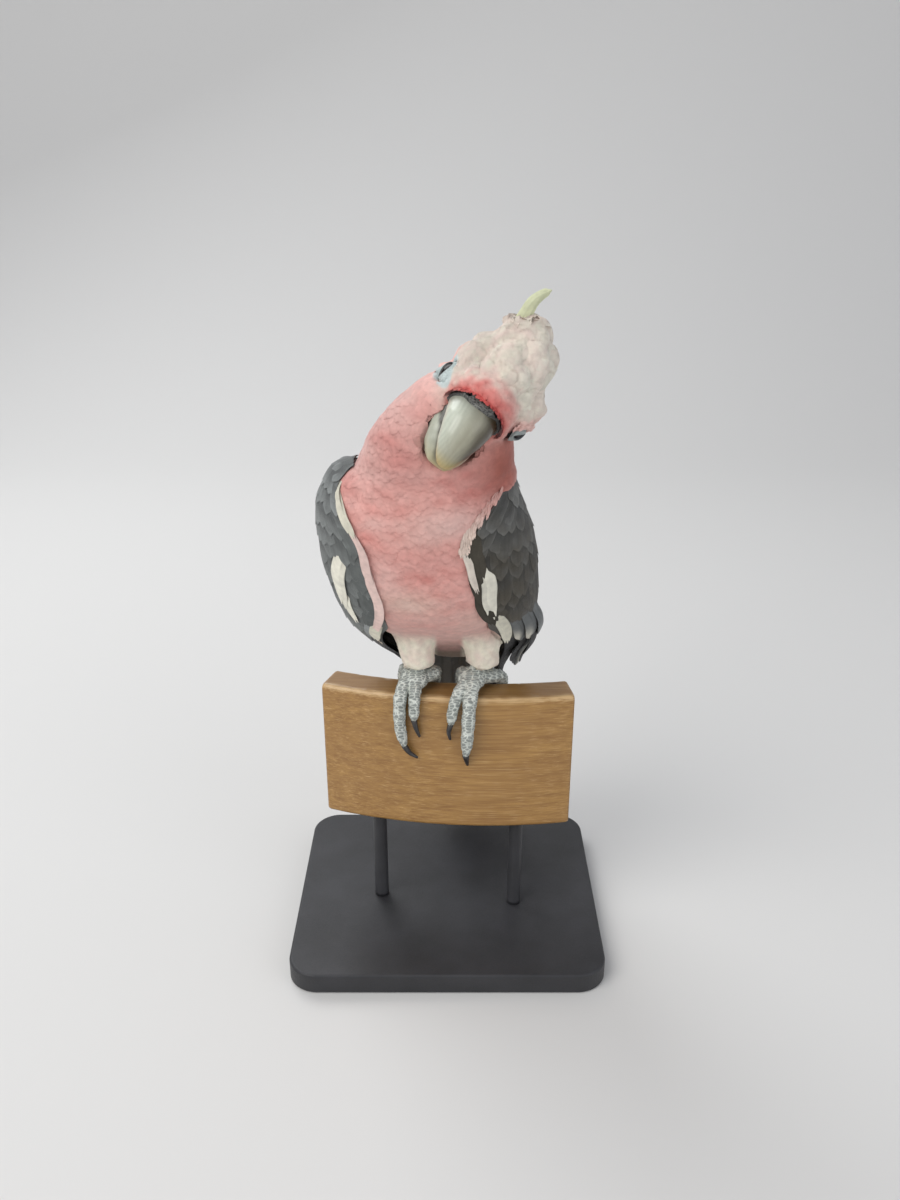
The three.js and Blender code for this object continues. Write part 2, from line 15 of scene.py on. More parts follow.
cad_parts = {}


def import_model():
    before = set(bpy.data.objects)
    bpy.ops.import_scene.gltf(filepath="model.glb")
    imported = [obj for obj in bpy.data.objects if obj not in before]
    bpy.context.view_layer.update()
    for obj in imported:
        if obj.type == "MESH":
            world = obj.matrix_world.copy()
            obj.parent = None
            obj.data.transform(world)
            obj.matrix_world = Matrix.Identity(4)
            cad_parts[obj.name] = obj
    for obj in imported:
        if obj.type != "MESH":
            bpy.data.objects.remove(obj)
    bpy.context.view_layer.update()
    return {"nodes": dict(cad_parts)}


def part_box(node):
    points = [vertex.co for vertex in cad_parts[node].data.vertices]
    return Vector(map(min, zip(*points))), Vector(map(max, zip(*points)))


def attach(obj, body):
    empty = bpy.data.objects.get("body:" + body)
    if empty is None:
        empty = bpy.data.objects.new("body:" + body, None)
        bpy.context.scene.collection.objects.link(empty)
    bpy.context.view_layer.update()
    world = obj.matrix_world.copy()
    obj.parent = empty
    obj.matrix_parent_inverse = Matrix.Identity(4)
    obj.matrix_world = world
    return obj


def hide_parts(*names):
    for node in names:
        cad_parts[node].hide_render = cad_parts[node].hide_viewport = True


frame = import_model()
nodes = frame["nodes"]


# ---- The frame, in the feathers' own millimetres ----
MM = 0.001
PERCH_FORWARD = 12
perch_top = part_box("perch_rail")[1].z
ORIGIN = np.array([0, -PERCH_FORWARD * MM, perch_top])
rng = np.random.default_rng(41)
SIDES = {"left": 1, "right": -1}


def local(points):
    return (np.asarray(points, float) - ORIGIN) / MM


def world(points):
    return np.asarray(points, float) * MM + ORIGIN


def box_of(node):
    low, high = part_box(node)
    return local(low), local(high)


def middle_of(node):
    low, high = box_of(node)
    return (low + high) / 2


def unit(vectors):
    vectors = np.asarray(vectors, float)
    return vectors / np.maximum(np.linalg.norm(vectors, axis=-1, keepdims=True), 1e-9)


def smooth(low, high, value):
    t = np.clip((np.asarray(value, float) - low) / (high - low), 0, 1)
    return t * t * (3 - 2 * t)


def mix(a, b, t):
    return a + (b - a) * t


# The head's own frame: X forward, Y to the bird's left, Z up, in head units.
HEAD = {"turn": 12.5, "nod": 8, "tilt": 38, "size": 1.1}


def head_axes():
    turned = Matrix.Rotation(math.radians(-90 - HEAD["turn"]), 3, "Z")
    nodded = Matrix.Rotation(math.radians(HEAD["nod"]), 3, "Y")
    tilted = Matrix.Rotation(math.radians(-HEAD["tilt"]), 3, "X")
    return np.array(turned @ nodded @ tilted)


HEAD_AXES = head_axes()
EYES = {side: middle_of(f"eye_{side}") for side in SIDES}
# The eyes lie a little unevenly about the head's middle.
HEAD_AT = (EYES["left"] + EYES["right"]) / 2 - HEAD_AXES @ np.array([-2.4, 0.65, 0.1]) * HEAD["size"]


def in_head(points):
    return (np.asarray(points, float) - HEAD_AT) @ HEAD_AXES / HEAD["size"]


def from_head(points):
    return np.asarray(points, float) @ HEAD_AXES.T * HEAD["size"] + HEAD_AT


# ---- Colour ----
def linear(text):
    value = np.array([int(text[i:i + 2], 16) / 255 for i in (1, 3, 5)])
    return np.where(value <= 0.04045, value / 12.92, ((value + 0.055) / 1.055) ** 2.4)


PINK = linear("#dc9288")
DEEP_PINK = linear("#cf6863")
SOFT_PINK = linear("#eab5ac")
PALE_PINK = linear("#e8cbc2")
CREAM = linear("#e2ddca")
WHITE = linear("#eae6d6")
BLUSH = linear("#d4544f")
GREY = linear("#676a6a")
DARK_GREY = linear("#3a3b3b")
PALE_GREY = linear("#999c9b")
BACK_GREY = linear("#a9adaf")
BLACK = linear("#17171a")
BROWN_GREY = linear("#9c8470")
BARE_SKIN = linear("#bfcac8")
# Painted shade, red-brown, for the shadow down the left of the neck
NECK_SHADOW_RED = linear("#9d4b39")
# Painted shade, beside and between the bills
BILL_SHADOW = linear("#3b352c")
PEACH = linear("#dcb6aa")
PLUME = linear("#e4e7c0")


WAVES_PEAK = 3.4  # six waves seldom sum to more


def waves(points, size, seed):
    """Smooth noise from about -1 to 1 at each point, of about that size in millimetres: six waves summed."""
    made = np.random.default_rng(seed)
    total = np.zeros(len(points))
    for _ in range(6):
        way = unit(made.normal(size=3)) * 2 * math.pi / size * made.uniform(0.6, 1.3)
        total += np.sin(points @ way + made.uniform(0, 6.28))
    return total / WAVES_PEAK


# ---- Meshes ----
def linked(name, data):
    """A new object in the scene."""
    made = bpy.data.objects.new(name, data)
    bpy.context.scene.collection.objects.link(made)
    return made


def new_object(name, vertices, faces):
    mesh = bpy.data.meshes.new(name)
    mesh.from_pydata(world(vertices), [], faces)
    mesh.update()
    return linked(name, mesh)


def coordinates(mesh):
    co = np.empty(len(mesh.vertices) * 3)
    mesh.vertices.foreach_get("co", co)
    return co.reshape(-1, 3)


def set_coordinates(mesh, places):
    mesh.vertices.foreach_set("co", np.asarray(places, np.float32).ravel())
    mesh.update()


def places_of(piece):
    return local(coordinates(piece.data))


def normals_of(mesh):
    normals = np.empty(len(mesh.vertices) * 3)
    mesh.vertex_normals.foreach_get("vector", normals)
    return normals.reshape(-1, 3)


def finish_piece(piece, material, slot, *replaced, smooth_shaded=True):
    piece.data.materials.clear()
    piece.data.materials.append(material)
    if smooth_shaded:
        piece.data.shade_smooth()
    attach(piece, "root")
    if replaced:
        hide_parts(*replaced)
    return piece


def recalculated(piece):
    """The piece with all its faces turned outward."""
    mesh = bmesh.new()
    mesh.from_mesh(piece.data)
    bmesh.ops.recalc_face_normals(mesh, faces=mesh.faces)
    mesh.to_mesh(piece.data)
    mesh.free()
    return piece


def applied(piece):
    """The piece with its modifiers applied."""
    bpy.context.view_layer.update()
    depsgraph = bpy.context.evaluated_depsgraph_get()
    mesh = bpy.data.meshes.new_from_object(piece.evaluated_get(depsgraph))
    piece.modifiers.clear()
    piece.data = mesh
    return piece


def softened(piece, rounds):
    """The piece with its surface smoothed that many times."""
    soften = piece.modifiers.new("soften", "SMOOTH")
    soften.factor = 0.5
    soften.iterations = rounds
    return applied(piece)


def voxelled(piece, voxel, rounds):
    """The piece made again as one closed skin of about that many millimetres a face, and softened."""
    remesh = piece.modifiers.new("remesh", "REMESH")
    remesh.mode = "VOXEL"
    remesh.voxel_size = voxel * MM
    return softened(piece, rounds)


def remeshed(name, sources, voxel, rounds):
    """One smooth body over copies of some CAD nodes."""
    whole = bmesh.new()
    for node in sources:
        whole.from_mesh(nodes[node].data)
    mesh = bpy.data.meshes.new(name)
    whole.to_mesh(mesh)
    whole.free()
    return voxelled(linked(name, mesh), voxel, rounds)


def paint(piece, colours):
    layer = piece.data.color_attributes.new("Coat", "FLOAT_COLOR", "POINT")
    rgba = np.ones((len(colours), 4), np.float32)
    rgba[:, :3] = np.clip(colours, 0, 1)
    layer.data.foreach_set("color", rgba.ravel())


class Surface:
    """A closed surface in local millimetres that points can be brought onto."""

    def __init__(self, mesh):
        self.places = local(coordinates(mesh))
        self.normals = unit(normals_of(mesh))
        faces = [tuple(face.vertices) for face in mesh.polygons]
        self.corners = [np.array(face) for face in faces]
        self.face_normals = np.array([unit(self.normals[face].sum(0)) for face in self.corners])
        self.tree = BVHTree.FromPolygons([tuple(p) for p in self.places], faces)

    def nearest(self, points):
        points = np.asarray(points, float)
        flat = points.reshape(-1, 3)
        places = np.empty_like(flat)
        normals = np.empty_like(flat)
        for i, point in enumerate(flat):
            place, _, face, _ = self.tree.find_nearest(Vector(point))
            places[i] = place
            normals[i] = self.face_normals[face]
        return places.reshape(points.shape), normals.reshape(points.shape)


# ---- Cells: a jittered lattice, for scales, lumps and tufts ----
def cells(points, seed, jitter=0.8):
    """Distance to the nearest cell's middle, how much farther the next one's is, and the cell's number."""
    low = points.min(0).astype(int) - 2
    base = np.floor(points).astype(int)
    size = base.max(0) - low + 4
    made = np.random.default_rng(seed)
    offsets = made.uniform(0.5 - jitter / 2, 0.5 + jitter / 2, (*size, 3))
    numbers = made.uniform(0, 1, size)
    first = np.full(len(points), 9.0)
    second = np.full(len(points), 9.0)
    number = np.zeros(len(points))
    for step in np.ndindex(3, 3, 3):
        cell = base + np.array(step) - 1
        at = tuple((cell - low).T)
        distance = np.linalg.norm(cell + offsets[at] - points, axis=1)
        nearer = distance < first
        second = np.where(nearer, first, np.minimum(second, distance))
        first = np.where(nearer, distance, first)
        number = np.where(nearer, numbers[at], number)
    return first, second - first, number


# ---- Skin ----
FLESH = ["head", "crest", "neck", "trunk"]
FLESH += [f"{part}_{side}" for part in ("thigh", "wing") for side in SIDES]
SKIN_VOXEL = 1.3
CREASE_DEPTH = 2.6
BESIDE_BILL = 0.7  # how far the skin draws in beside the lower bill
COAT_DEPTH = {"head": 0.95, "neck": 1.4, "body": 1.6, "thigh": 1.2}
SKULL = np.array([-7, 0, 3])  # the head's middle, in head units
PLUME_BASE = np.array([-12, -6, 26])
PLUME_SEAT = np.array([-11, -5.5, 24])


def headness(points):
    """1 on the head and crest, 0 on the body, from the distance to the head's middle."""
    off = in_head(points) - SKULL
    off[:, 2] = off[:, 2] / np.where(off[:, 2] > 0, 2.0, 1.15)
    return 1 - smooth(20, 30, np.linalg.norm(off, axis=1))


def coat_depth(points):
    z = points[:, 2]
    neck = smooth(105, 130, z)
    depth = mix(COAT_DEPTH["body"], COAT_DEPTH["neck"], neck)
    depth = mix(depth, COAT_DEPTH["head"], headness(points))
    return mix(COAT_DEPTH["thigh"], depth, smooth(26, 44, z + 0.55 * np.maximum(points[:, 1] - 12, 0)))


def creases(points):
    """1 in the creases between the soft clumps of the crown and crest, 0 on the clumps."""
    h = in_head(points)
    warped = h + 2.0 * np.stack([waves(h, 16, seed) for seed in (111, 112, 113)], -1)
    _, gap, _ = cells(warped / [13.0, 10.5, 15.0], 114)
    crown = smooth(-2, 9, h[:, 2] + 0.35 * np.abs(h[:, 1]) - 0.3 * h[:, 0]) * smooth(13, 6, h[:, 0])
    return crown * headness(points) * (1 - smooth(0.0, 0.34, gap)) ** 1.5


def folds(points):
    """How much deeper the skin lies at each point, for the clumps on the head and waves on the breast."""
    soft = 0.35 * waves(points * [1, 1, 1.7], 22, 115) + 0.12 * waves(points, 9, 116)
    clear = smooth(4, 9, np.linalg.norm(in_head(points) - PLUME_SEAT, axis=1))
    return CREASE_DEPTH * creases(points) * clear + soft * (1 - headness(points))


BILL_MIDDLE = middle_of("bill_lower")
BILL_REACH = 42  # nothing farther than this from the lower bill's middle is next to it
MANDIBLE = Surface(nodes["bill_lower"].data).tree


def distances(tree, points):
    return np.array([tree.find_nearest(Vector(point))[3] for point in points])


def at_mandible(points):
    """1 next to the lower bill, falling to 0 a few millimetres away."""
    near = np.linalg.norm(points - BILL_MIDDLE, axis=1) < BILL_REACH
    next_to = np.zeros(len(points))
    next_to[near] = 1 - smooth(0.8, 3.6, distances(MANDIBLE, points[near]))
    return next_to


def make_skin():
    skin = remeshed("skin", FLESH, SKIN_VOXEL, 8)
    places = places_of(skin)
    inward = unit(normals_of(skin.data)) * (coat_depth(places) + folds(places))[:, None]
    set_coordinates(skin.data, world(places - inward))
    voxelled(skin, SKIN_VOXEL, 3)
    # The skin draws in beside the lower bill, so that it stands clear.
    places = places_of(skin)
    drawn = places - unit(normals_of(skin.data)) * BESIDE_BILL * at_mandible(places)[:, None]
    set_coordinates(skin.data, world(drawn))
    return skin


# ---- The body's outline, as the solids have it: heights over the perch ----
# height, middle x, half width, middle y, half depth
BODY_RINGS = np.array([
    (-107, 13, 17, 90, 7), (-60, 10.5, 20, 68, 10), (-20, 7, 22.5, 48, 13), (0, 5.2, 28, 38, 16),
    (9, 3.4, 32, 33, 19), (17, 0, 40.5, 28, 23), (33, -3.2, 48.2, 20, 30), (54, -5.6, 51, 8, 38.5),
    (76, -8.5, 52.5, 0, 41), (92, -10.5, 51.5, -5, 41), (106, -12.5, 48.5, -10, 39),
    (120, -11, 42, -14.5, 35), (129, -5.5, 35.5, -18, 31), (134, -5, 24, -19, 21),
])
# height, front edge and back edge of a folded wing, as angles round the body from its side
WING_EDGES = np.array([
    (-107, 58, 76), (-92, 42, 80), (-60, 18, 82), (-20, -20, 83), (0, -36, 84), (14, -42, 85),
    (30, -50, 84), (44, -57, 77), (60, -64, 68), (78, -67, 61), (94, -67, 56), (106, -57, 52),
    (118, -38, 44), (126, -14, 16),
])
WING_TOP = 126
TUCK = 2.2  # how far the body's coat draws in under a wing


def along(table, heights):
    """The table's other columns at those heights, each between its neighbours."""
    heights = np.asarray(heights, float)
    return [np.interp(heights, table[:, 0], table[:, i]) for i in range(1, table.shape[1])]


def on_body(heights, angles, side, proud):
    """Points round the body: 0 degrees is the bird's side, -90 its breast and 90 its back."""
    x, a, y, b = along(BODY_RINGS, heights)
    t = np.radians(angles)
    return np.stack([
        x + side * (a + proud) * np.cos(t), y + (b + proud) * np.sin(t), np.asarray(heights, float) + 0 * t,
    ], -1)


def wing_edges(heights, side):
    front, back = along(WING_EDGES, heights)
    turned = 9 * smooth(46, 90, heights) if side < 0 else 0
    return front + turned, back


def on_wing(heights, shares, side, proud=0.0):
    """Points on a folded wing: share 0 is its front edge and 1 its back edge."""
    front, back = wing_edges(heights, side)
    return on_body(heights, mix(front, back, shares), side, proud)


def wing_share(points, side):
    """How far back on that wing each point lies, 0 to 1, and outside that off the wing."""
    x, a, y, b = along(BODY_RINGS, points[:, 2])
    angles = np.degrees(np.arctan2((points[:, 1] - y) / b, side * (points[:, 0] - x) / a))
    front, back = wing_edges(points[:, 2], side)
    return (angles - front) / (back - front)


def wing_normals(points, heights):
    """Which way is straight out of a folded wing at each place."""
    x, a, y, b = along(BODY_RINGS, heights)
    return unit(np.stack([(points[..., 0] - x) / a ** 2, (points[..., 1] - y) / b ** 2, 0.004 + 0 * a], -1))


def beside_wings(points):
    """For each wing, how far back on it each point lies, and whether the point is on its side of the body."""
    for side in SIDES.values():
        middle = along(BODY_RINGS, points[:, 2])[0]
        yield wing_share(points, side), side * (points[:, 0] - middle) > 0


def tucked(points):
    """The points of the body's coat, drawn in where a wing lies over them."""
    z = points[:, 2]
    drawn = np.zeros(len(points))
    for share, own in beside_wings(points):
        covered = smooth(-0.02, 0.04, share) * (1 - smooth(0.98, 1.02, share)) * smooth(122, 112, z)
        drawn = np.where(own & (z > 4), np.maximum(drawn, covered), drawn)
    return points - wing_normals(points, z) * (TUCK * drawn)[:, None]


def under_wing(points):
    """1 where a folded wing covers the body."""
    z = points[:, 2]
    covered = np.zeros(len(points))
    for share, own in beside_wings(points):
        inside = (share > -0.015) & (share < 1.015) & (z > 8) & (z < WING_TOP - 5)
        covered[inside & own] = 1
    return covered


def body_angle(points):
    """Degrees round the body from its side, towards the breast negative, towards the back positive."""
    x, a, y, b = along(BODY_RINGS, points[:, 2])
    return np.degrees(np.arctan2((points[:, 1] - y) / b, np.abs(points[:, 0] - x) / a))


# ---- Markings, and painted light and shade ----
def tint(colour, points):
    return np.tile(colour, (len(points), 1))


def blended(colours, other, share):
    return mix(colours, other, np.asarray(share)[:, None])


# Bare skin beside each eye, in head units: forward and up of the eye, then half lengths forward and up.
BARE = {
    "left": [(0.6, -1.5, 3.8, 2.6)],
    "right": [(0.2, 0.2, 5.6, 5.2), (5.0, 0.6, 5.6, 4.4), (-1.5, 3.5, 4.0, 4.0)],
}


def bare_patch(points):
    """1 on the featherless skin round an eye and from there to the bill."""
    h = in_head(points)
    bare = np.zeros(len(points))
    for name, side in SIDES.items():
        off = h - in_head(EYES[name][None])[0]
        near = np.min([
            np.hypot((off[:, 0] - ahead) / length, (off[:, 2] - above) / height)
            for ahead, above, length, height in BARE[name]
        ], axis=0) + 0.05 * waves(points, 4, 12)
        bare = np.maximum(bare, (side * h[:, 1] > 6) * (1 - smooth(0.92, 1.06, near)))
    return bare


def head_colour(points):
    h = in_head(points)
    mottled = waves(points, 7, 3) * 0.5 + waves(points, 3, 4) * 0.5
    colours = blended(tint(CREAM, points), PALE_PINK, 0.3 + 0.3 * mottled)
    # Painted light and shade: the head is painted whiter on the bird's left and darker on its right, for how
    # the light falls on it.
    colours = blended(colours, WHITE, 0.7 * smooth(-6, 12, h[:, 1]))
    colours = colours * (1 - 0.2 * smooth(2, -14, h[:, 1]))[:, None]
    cheek = smooth(3, 9, h[:, 1]) * (1 - smooth(2, 9, h[:, 2])) * smooth(-4, 4, h[:, 0])
    colours = blended(colours, SOFT_PINK, 0.8 * cheek)
    # The crown and crest are near white, the cheeks and chin pink.
    lower = 1 - smooth(-6, 7, h[:, 2] + 0.5 * h[:, 0] - 0.25 * np.maximum(h[:, 1], 0))
    colours = blended(colours, SOFT_PINK, 0.9 * lower)
    colours = blended(colours, PINK, 0.5 * (1 - smooth(-16, -6, h[:, 2])))
    # A deep blush arches over the bill, deepest next to the cere.
    away = np.linalg.norm((h - [11.5, 1, 1.5]) / [1, 1.05, 1], axis=1) + 1.2 * waves(points, 5, 5)
    colours = blended(colours, SOFT_PINK, 0.75 * (1 - smooth(11, 18, away)))
    colours = blended(colours, BLUSH, 0.85 * (1 - smooth(8.5, 15.5, away)))
    # Painted shade: the creases between the crown's clumps are painted a darker pink.
    colours = blended(colours, PALE_PINK * 0.9, 0.35 * creases(points))
    return blended(colours, BARE_SKIN, bare_patch(points))


# Soft patches on the neck and breast: colour, strength, middle and reach.
# The first two patches are painted shade on the left of the neck.
NECK_SHADOWS = [(NECK_SHADOW_RED, 1.0, (28, -36, 131), (16, 24, 16)), (NECK_SHADOW_RED, 0.7, (26, -34, 145), (12, 24, 11))]
BODY_PATCHES = [
    (PALE_PINK, 0.3, (-10, -46, 103), (14, 15, 9)),
    (DEEP_PINK, 0.2, (12, -46, 126), (18, 20, 10)),
    (PEACH, 0.4, (-6, -46, 100), (20, 15, 16)),
    (DEEP_PINK, 0.3, (-21, -46, 138), (9, 14, 11)),
    (PALE_PINK, 0.3, (-16, -40, 160), (17, 20, 13)),
    (PALE_PINK, 0.2, (-36, -30, 132), (12, 20, 12)),
    (PALE_PINK, 0.5, (4, -45, 108), (15, 20, 7)),
    (PALE_PINK, 0.4, (-31, -44, 108), (9, 15, 5)),
    (PALE_PINK, 0.4, (-29, -38, 80), (9, 15, 10)),
    (CREAM, 0.35, (-18, -33, 64), (15, 15, 8)),
    (DEEP_PINK, 0.22, (-8, -44, 92), (22, 15, 8)),
    (PEACH, 0.6, (14, -24, 50), (10, 15, 12)),
]


def patched(colours, points, patches):
    for colour, strength, middle, reach in patches:
        share = np.exp(-np.sum(((points - middle) / reach) ** 2, axis=1))
        colours = blended(colours, colour, strength * share)
    return colours


def body_colour(points):
    z = points[:, 2]
    angle = body_angle(points)
    hazy = waves(points * [0.5, 0.5, 1.6], 17, 7) * 0.6 + waves(points, 8, 8) * 0.4
    colours = blended(tint(PINK, points), SOFT_PINK, 0.48 + 0.36 * hazy)
    colours = blended(colours, DEEP_PINK, 0.3 * np.clip(-hazy - 0.1, 0, 1))
    # The neck is paler at its sides, and the nape near white.
    neck = smooth(104, 132, z)
    colours = blended(colours, PALE_PINK, neck * (0.12 + 0.3 * smooth(-10, 40, angle)))
    # Painted shade: the neck is painted darker on the bird's right.
    colours = colours * (1 - 0.2 * neck * smooth(5, -20, points[:, 0]))[:, None]
    colours = blended(colours, PEACH, 0.5 * (1 - smooth(30, 84, z)))
    colours = patched(colours, points, BODY_PATCHES)
    # Painted shade: the body is painted darker low down, on its underside.
    colours = colours * (1 - 0.13 * (1 - smooth(26, 50, z)))[:, None]
    # Mantle, back and rump are grey; the vent and undertail are a browner grey.
    back = smooth(30, 52, angle) * (1 - smooth(108, 122, z))
    colours = blended(colours, BACK_GREY, back)
    vent = (1 - smooth(10, 17, z)) * (1 - back)
    return blended(colours, BROWN_GREY, vent)


def thigh_colour(points):
    mottled = waves(points, 6, 11)
    return blended(tint(CREAM * 1.12, points), PALE_PINK, 0.2 + 0.25 * mottled)


def on_thigh(points):
    """1 on the feathered legs below the belly."""
    return 1 - smooth(26, 40, points[:, 2] + 0.9 * np.maximum(points[:, 1] - 10, 0))


def coat_colour(points):
    between = 1 - smooth(5.5, 8, np.abs(points[:, 0] - 1))
    colours = blended(body_colour(points), thigh_colour(points), on_thigh(points) * (1 - between))
    share = headness(points)
    colours = colours * (1 - share[:, None]) + head_colour(points) * share[:, None]
    # Painted shade: a red-brown shadow, with warm reflected light painted into it, runs down the left of the
    # neck.
    colours = patched(colours, points, NECK_SHADOWS)
    # Painted shade: the coat is darker in the crease beside the lower bill.
    return blended(colours, BILL_SHADOW, 0.55 * smooth(0.4, 0.95, at_mandible(points)))


# ---- How feathers lie ----
BILL_BASE = from_head([11, 0, -1])
DOWN_BODY = unit([0.055, 0.4, -0.917])
DOWN_NECK = unit([-0.35, 0.5, -0.8])


def lie(points, normals):
    """The way the coat lies at each point: back from the bill, down the neck, then towards the tail."""
    away = unit(points - BILL_BASE)
    headed = headness(points)[:, None]
    neck = smooth(96, 150, points[:, 2])[:, None]
    ways = mix(np.tile(DOWN_BODY, (len(points), 1)), DOWN_NECK, neck * 0.8)
    # The breast's feathers turn down rather than back.
    front = (1 - smooth(-70, -10, body_angle(points)))[:, None]
    ways = mix(ways, unit([0.0, 0.12, -1.0]), front * 0.8)
    ways = mix(ways, [0, 0.05, -1], on_thigh(points)[:, None])
    ways = unit(mix(ways, away, headed))
    return unit(ways - normals * np.sum(ways * normals, -1, keepdims=True))


# ---- Feather shapes: points as u along the shaft, v across it and w over it, and their triangles ----
CONTROL_ROWS = 5
WIDEST = 0.55  # how far along a body feather it is widest


def outline(u, widest, root):
    """Half width of a vane at u, 1 at its widest, rounded at the tip."""
    u = np.asarray(u, float)
    rise = root + (1 - root) * np.sin(np.clip(u / widest, 0, 1) * math.pi / 2)
    fall = np.sqrt(np.clip(1 - ((u - widest) / (1 - widest)) ** 2, 0, 1))
    return np.where(u < widest, rise, fall)


def facing_up(u, v, faces):
    """The faces, each turned to face away from the skin."""
    faces = np.array(faces)
    a, b, c = faces.T
    turn = (u[b] - u[a]) * (v[c] - v[a]) - (v[b] - v[a]) * (u[c] - u[a])
    faces[turn > 0] = faces[turn > 0][:, ::-1]
    return faces


def soft_vane(rows, columns, fringe):
    """A soft body feather: a rounded blade, and a short fringe of barbs round its far edge."""
    inner = 0.86
    u, v, _, faces = close_vane(rows, columns, WIDEST, 0.5)
    v = v * inner
    u = np.where(u > WIDEST, WIDEST + (u - WIDEST) * inner, u)
    turns = np.radians(np.linspace(-104, 104, fringe))
    spread = (turns[1] - turns[0]) * 0.52
    for i, turn in enumerate(turns):
        reach = (1.0, 0.95, 0.98, 0.94)[i % 4]
        for angle, size in ((turn - spread, 0.82), (turn + spread, 0.82), (turn * 0.93, reach)):
            u = np.append(u, WIDEST + (1 - WIDEST) * size * math.cos(angle))
            v = np.append(v, size * math.sin(angle))
        faces = np.vstack([faces, [len(u) - 3, len(u) - 2, len(u) - 1]])
    return u, v, np.zeros(len(u)), facing_up(u, v, faces)


def close_vane(rows, columns, widest, root, thickness=0.0, shaft=0.0):
    """A firm feather: one vane with a rounded tip, and an underside where it has a thickness."""
    lines = 1 - (1 - np.linspace(0, 1, rows + 1)) ** 1.25
    across = np.linspace(-1, 1, columns + 1)
    u = np.repeat(lines, columns + 1)
    v = np.concatenate([across * float(outline(min(line, 0.985), widest, root)) for line in lines])
    tiled = np.tile(across, rows + 1)
    u = u - 0.05 * tiled ** 2 * smooth(0.8, 1, u)
    w = shaft * (1 - np.minimum(np.abs(tiled) * columns / 2, 1)) * (1 - 0.7 * u)
    faces = []
    for row in range(rows):
        for column in range(columns):
            a = row * (columns + 1) + column
            b = a + columns + 1
            faces += [(a, b + 1, a + 1), (a, b, b + 1)]
    faces = [tuple(face) for face in facing_up(u, v, faces)]
    if thickness:
        count = len(u)
        rim = list(range(columns + 1))
        rim += [row * (columns + 1) + columns for row in range(1, rows + 1)]
        rim += [rows * (columns + 1) + column for column in range(columns - 1, -1, -1)]
        rim += [row * (columns + 1) for row in range(rows - 1, 0, -1)]
        faces += [(c + count, b + count, a + count) for a, b, c in faces]
        for a, b in zip(rim, rim[1:] + rim[:1]):
            faces += [(a, b + count, b), (a, a + count, b + count)]
        u, v, w = np.tile(u, 2), np.tile(v, 2), np.concatenate([w, w - thickness])
    return u, v, w, np.array(faces)


def row_weights(u):
    """How much each control row counts at u: a smooth curve through the rows."""
    weights = np.zeros((len(u), CONTROL_ROWS))
    last = CONTROL_ROWS - 1
    for i, value in enumerate(np.clip(u, 0, 1)):
        segment = min(int(value * last), last - 1)
        t = value * last - segment
        curve = [
            -0.5 * t + t * t - 0.5 * t ** 3, 1 - 2.5 * t * t + 1.5 * t ** 3,
            0.5 * t + 2 * t * t - 1.5 * t ** 3, -0.5 * t * t + 0.5 * t ** 3,
        ]
        for step, weight in zip((-1, 0, 1, 2), curve):
            row = segment + step
            if row < 0:  # past the ends the curve runs straight on
                weights[i, 0] += 2 * weight
                weights[i, 1] -= weight
            elif row > last:
                weights[i, last] += 2 * weight
                weights[i, last - 1] -= weight
            else:
                weights[i, row] += weight
    return weights


def column_weights(v):
    return np.stack([v * (v - 1) / 2, 1 - v * v, v * (v + 1) / 2], -1)


def shafted(v, depth, width):
    """1 across a feather, and less by depth along its shaft."""
    return 1 - depth * np.exp(-(v / width) ** 2)


class Batch:
    """Many feathers of one shape, from control points [feather, row, left-middle-right, xyz]."""

    def __init__(self, shape, places, normals, lengths, widths, relief=0.3):
        self.u, self.v, self.w, self.faces = shape
        self.count = len(places)
        weights = row_weights(self.u)[:, :, None] * column_weights(self.v)[:, None, :]
        self.points = np.einsum("mrc,nrcx->nmx", weights, places)
        self.up = unit(np.einsum("mrc,nrcx->nmx", weights, normals))
        self.points = self.points + self.up * self.w[None, :, None]
        self.along = self.u[None, :] * np.asarray(lengths)[:, None]
        self.across = self.v[None, :] * np.asarray(widths)[:, None] / 2
        self.roots = places[:, 0, 1]
        self.relief = relief
        self.colours = None

    def lifted(self, low, high, power, dome, twist=None):
        """Raises each feather off the skin, low at its root and high at its tip; its sides droop by dome."""
        low = np.broadcast_to(low, self.count)[:, None]
        high = np.broadcast_to(high, self.count)[:, None]
        rise = mix(low, high, np.clip(self.u, 0, 1)[None, :] ** power)
        rise = rise - dome * self.v[None, :] ** 2
        if twist is not None:
            rise = rise + np.asarray(twist)[:, None] * self.v[None, :] * self.u[None, :]
        self.points = self.points + self.up * rise[..., None]

    def mottle(self, size, seed):
        return waves(self.points.reshape(-1, 3), size, seed).reshape(self.points.shape[:2])

    def painted(self, colours):
        self.colours = np.clip(colours, 0, 1)
        return self

    def marked(self, colour_at, spread, root_shade=1.0):
        """Painted with the colours at its places, each feather a little lighter or darker than the next; the
        last argument tones it along its length, as painted shade at the root.
        """
        colours = colour_at(self.points.reshape(-1, 3)).reshape(self.points.shape)
        tone = rng.normal(1, spread, (self.count, 1, 1))
        return self.painted(colours * tone * np.reshape(root_shade, (1, -1, 1)))

    def shading(self):
        """Normals between the surface's own, for a soft coat, and each feather's."""
        total = np.zeros_like(self.points)
        for a, b, c in self.faces:
            normal = np.cross(self.points[:, b] - self.points[:, a], self.points[:, c] - self.points[:, a])
            facing = np.sign(np.sum(normal * self.up[:, a], -1, keepdims=True))
            keep = normal * (facing if self.w.min() >= 0 else 1)
            for corner in (a, b, c):
                total[:, corner] += keep
        if self.w.min() < 0:
            return unit(total)
        return unit(mix(self.up, unit(total), self.relief))


def beside(surface, place, normal, step):
    """The surface next to each place, or a flat step where the surface turns away too sharply."""
    found, found_normal = surface.nearest(place + step)
    size = np.linalg.norm(step, axis=-1, keepdims=True)
    pull = np.linalg.norm(found - place - step, axis=-1, keepdims=True)
    sharp = smooth(0.3, 0.6, pull / size)
    return mix(found, place + step - normal * 0.3 * size, sharp), unit(mix(found_normal, normal, sharp))


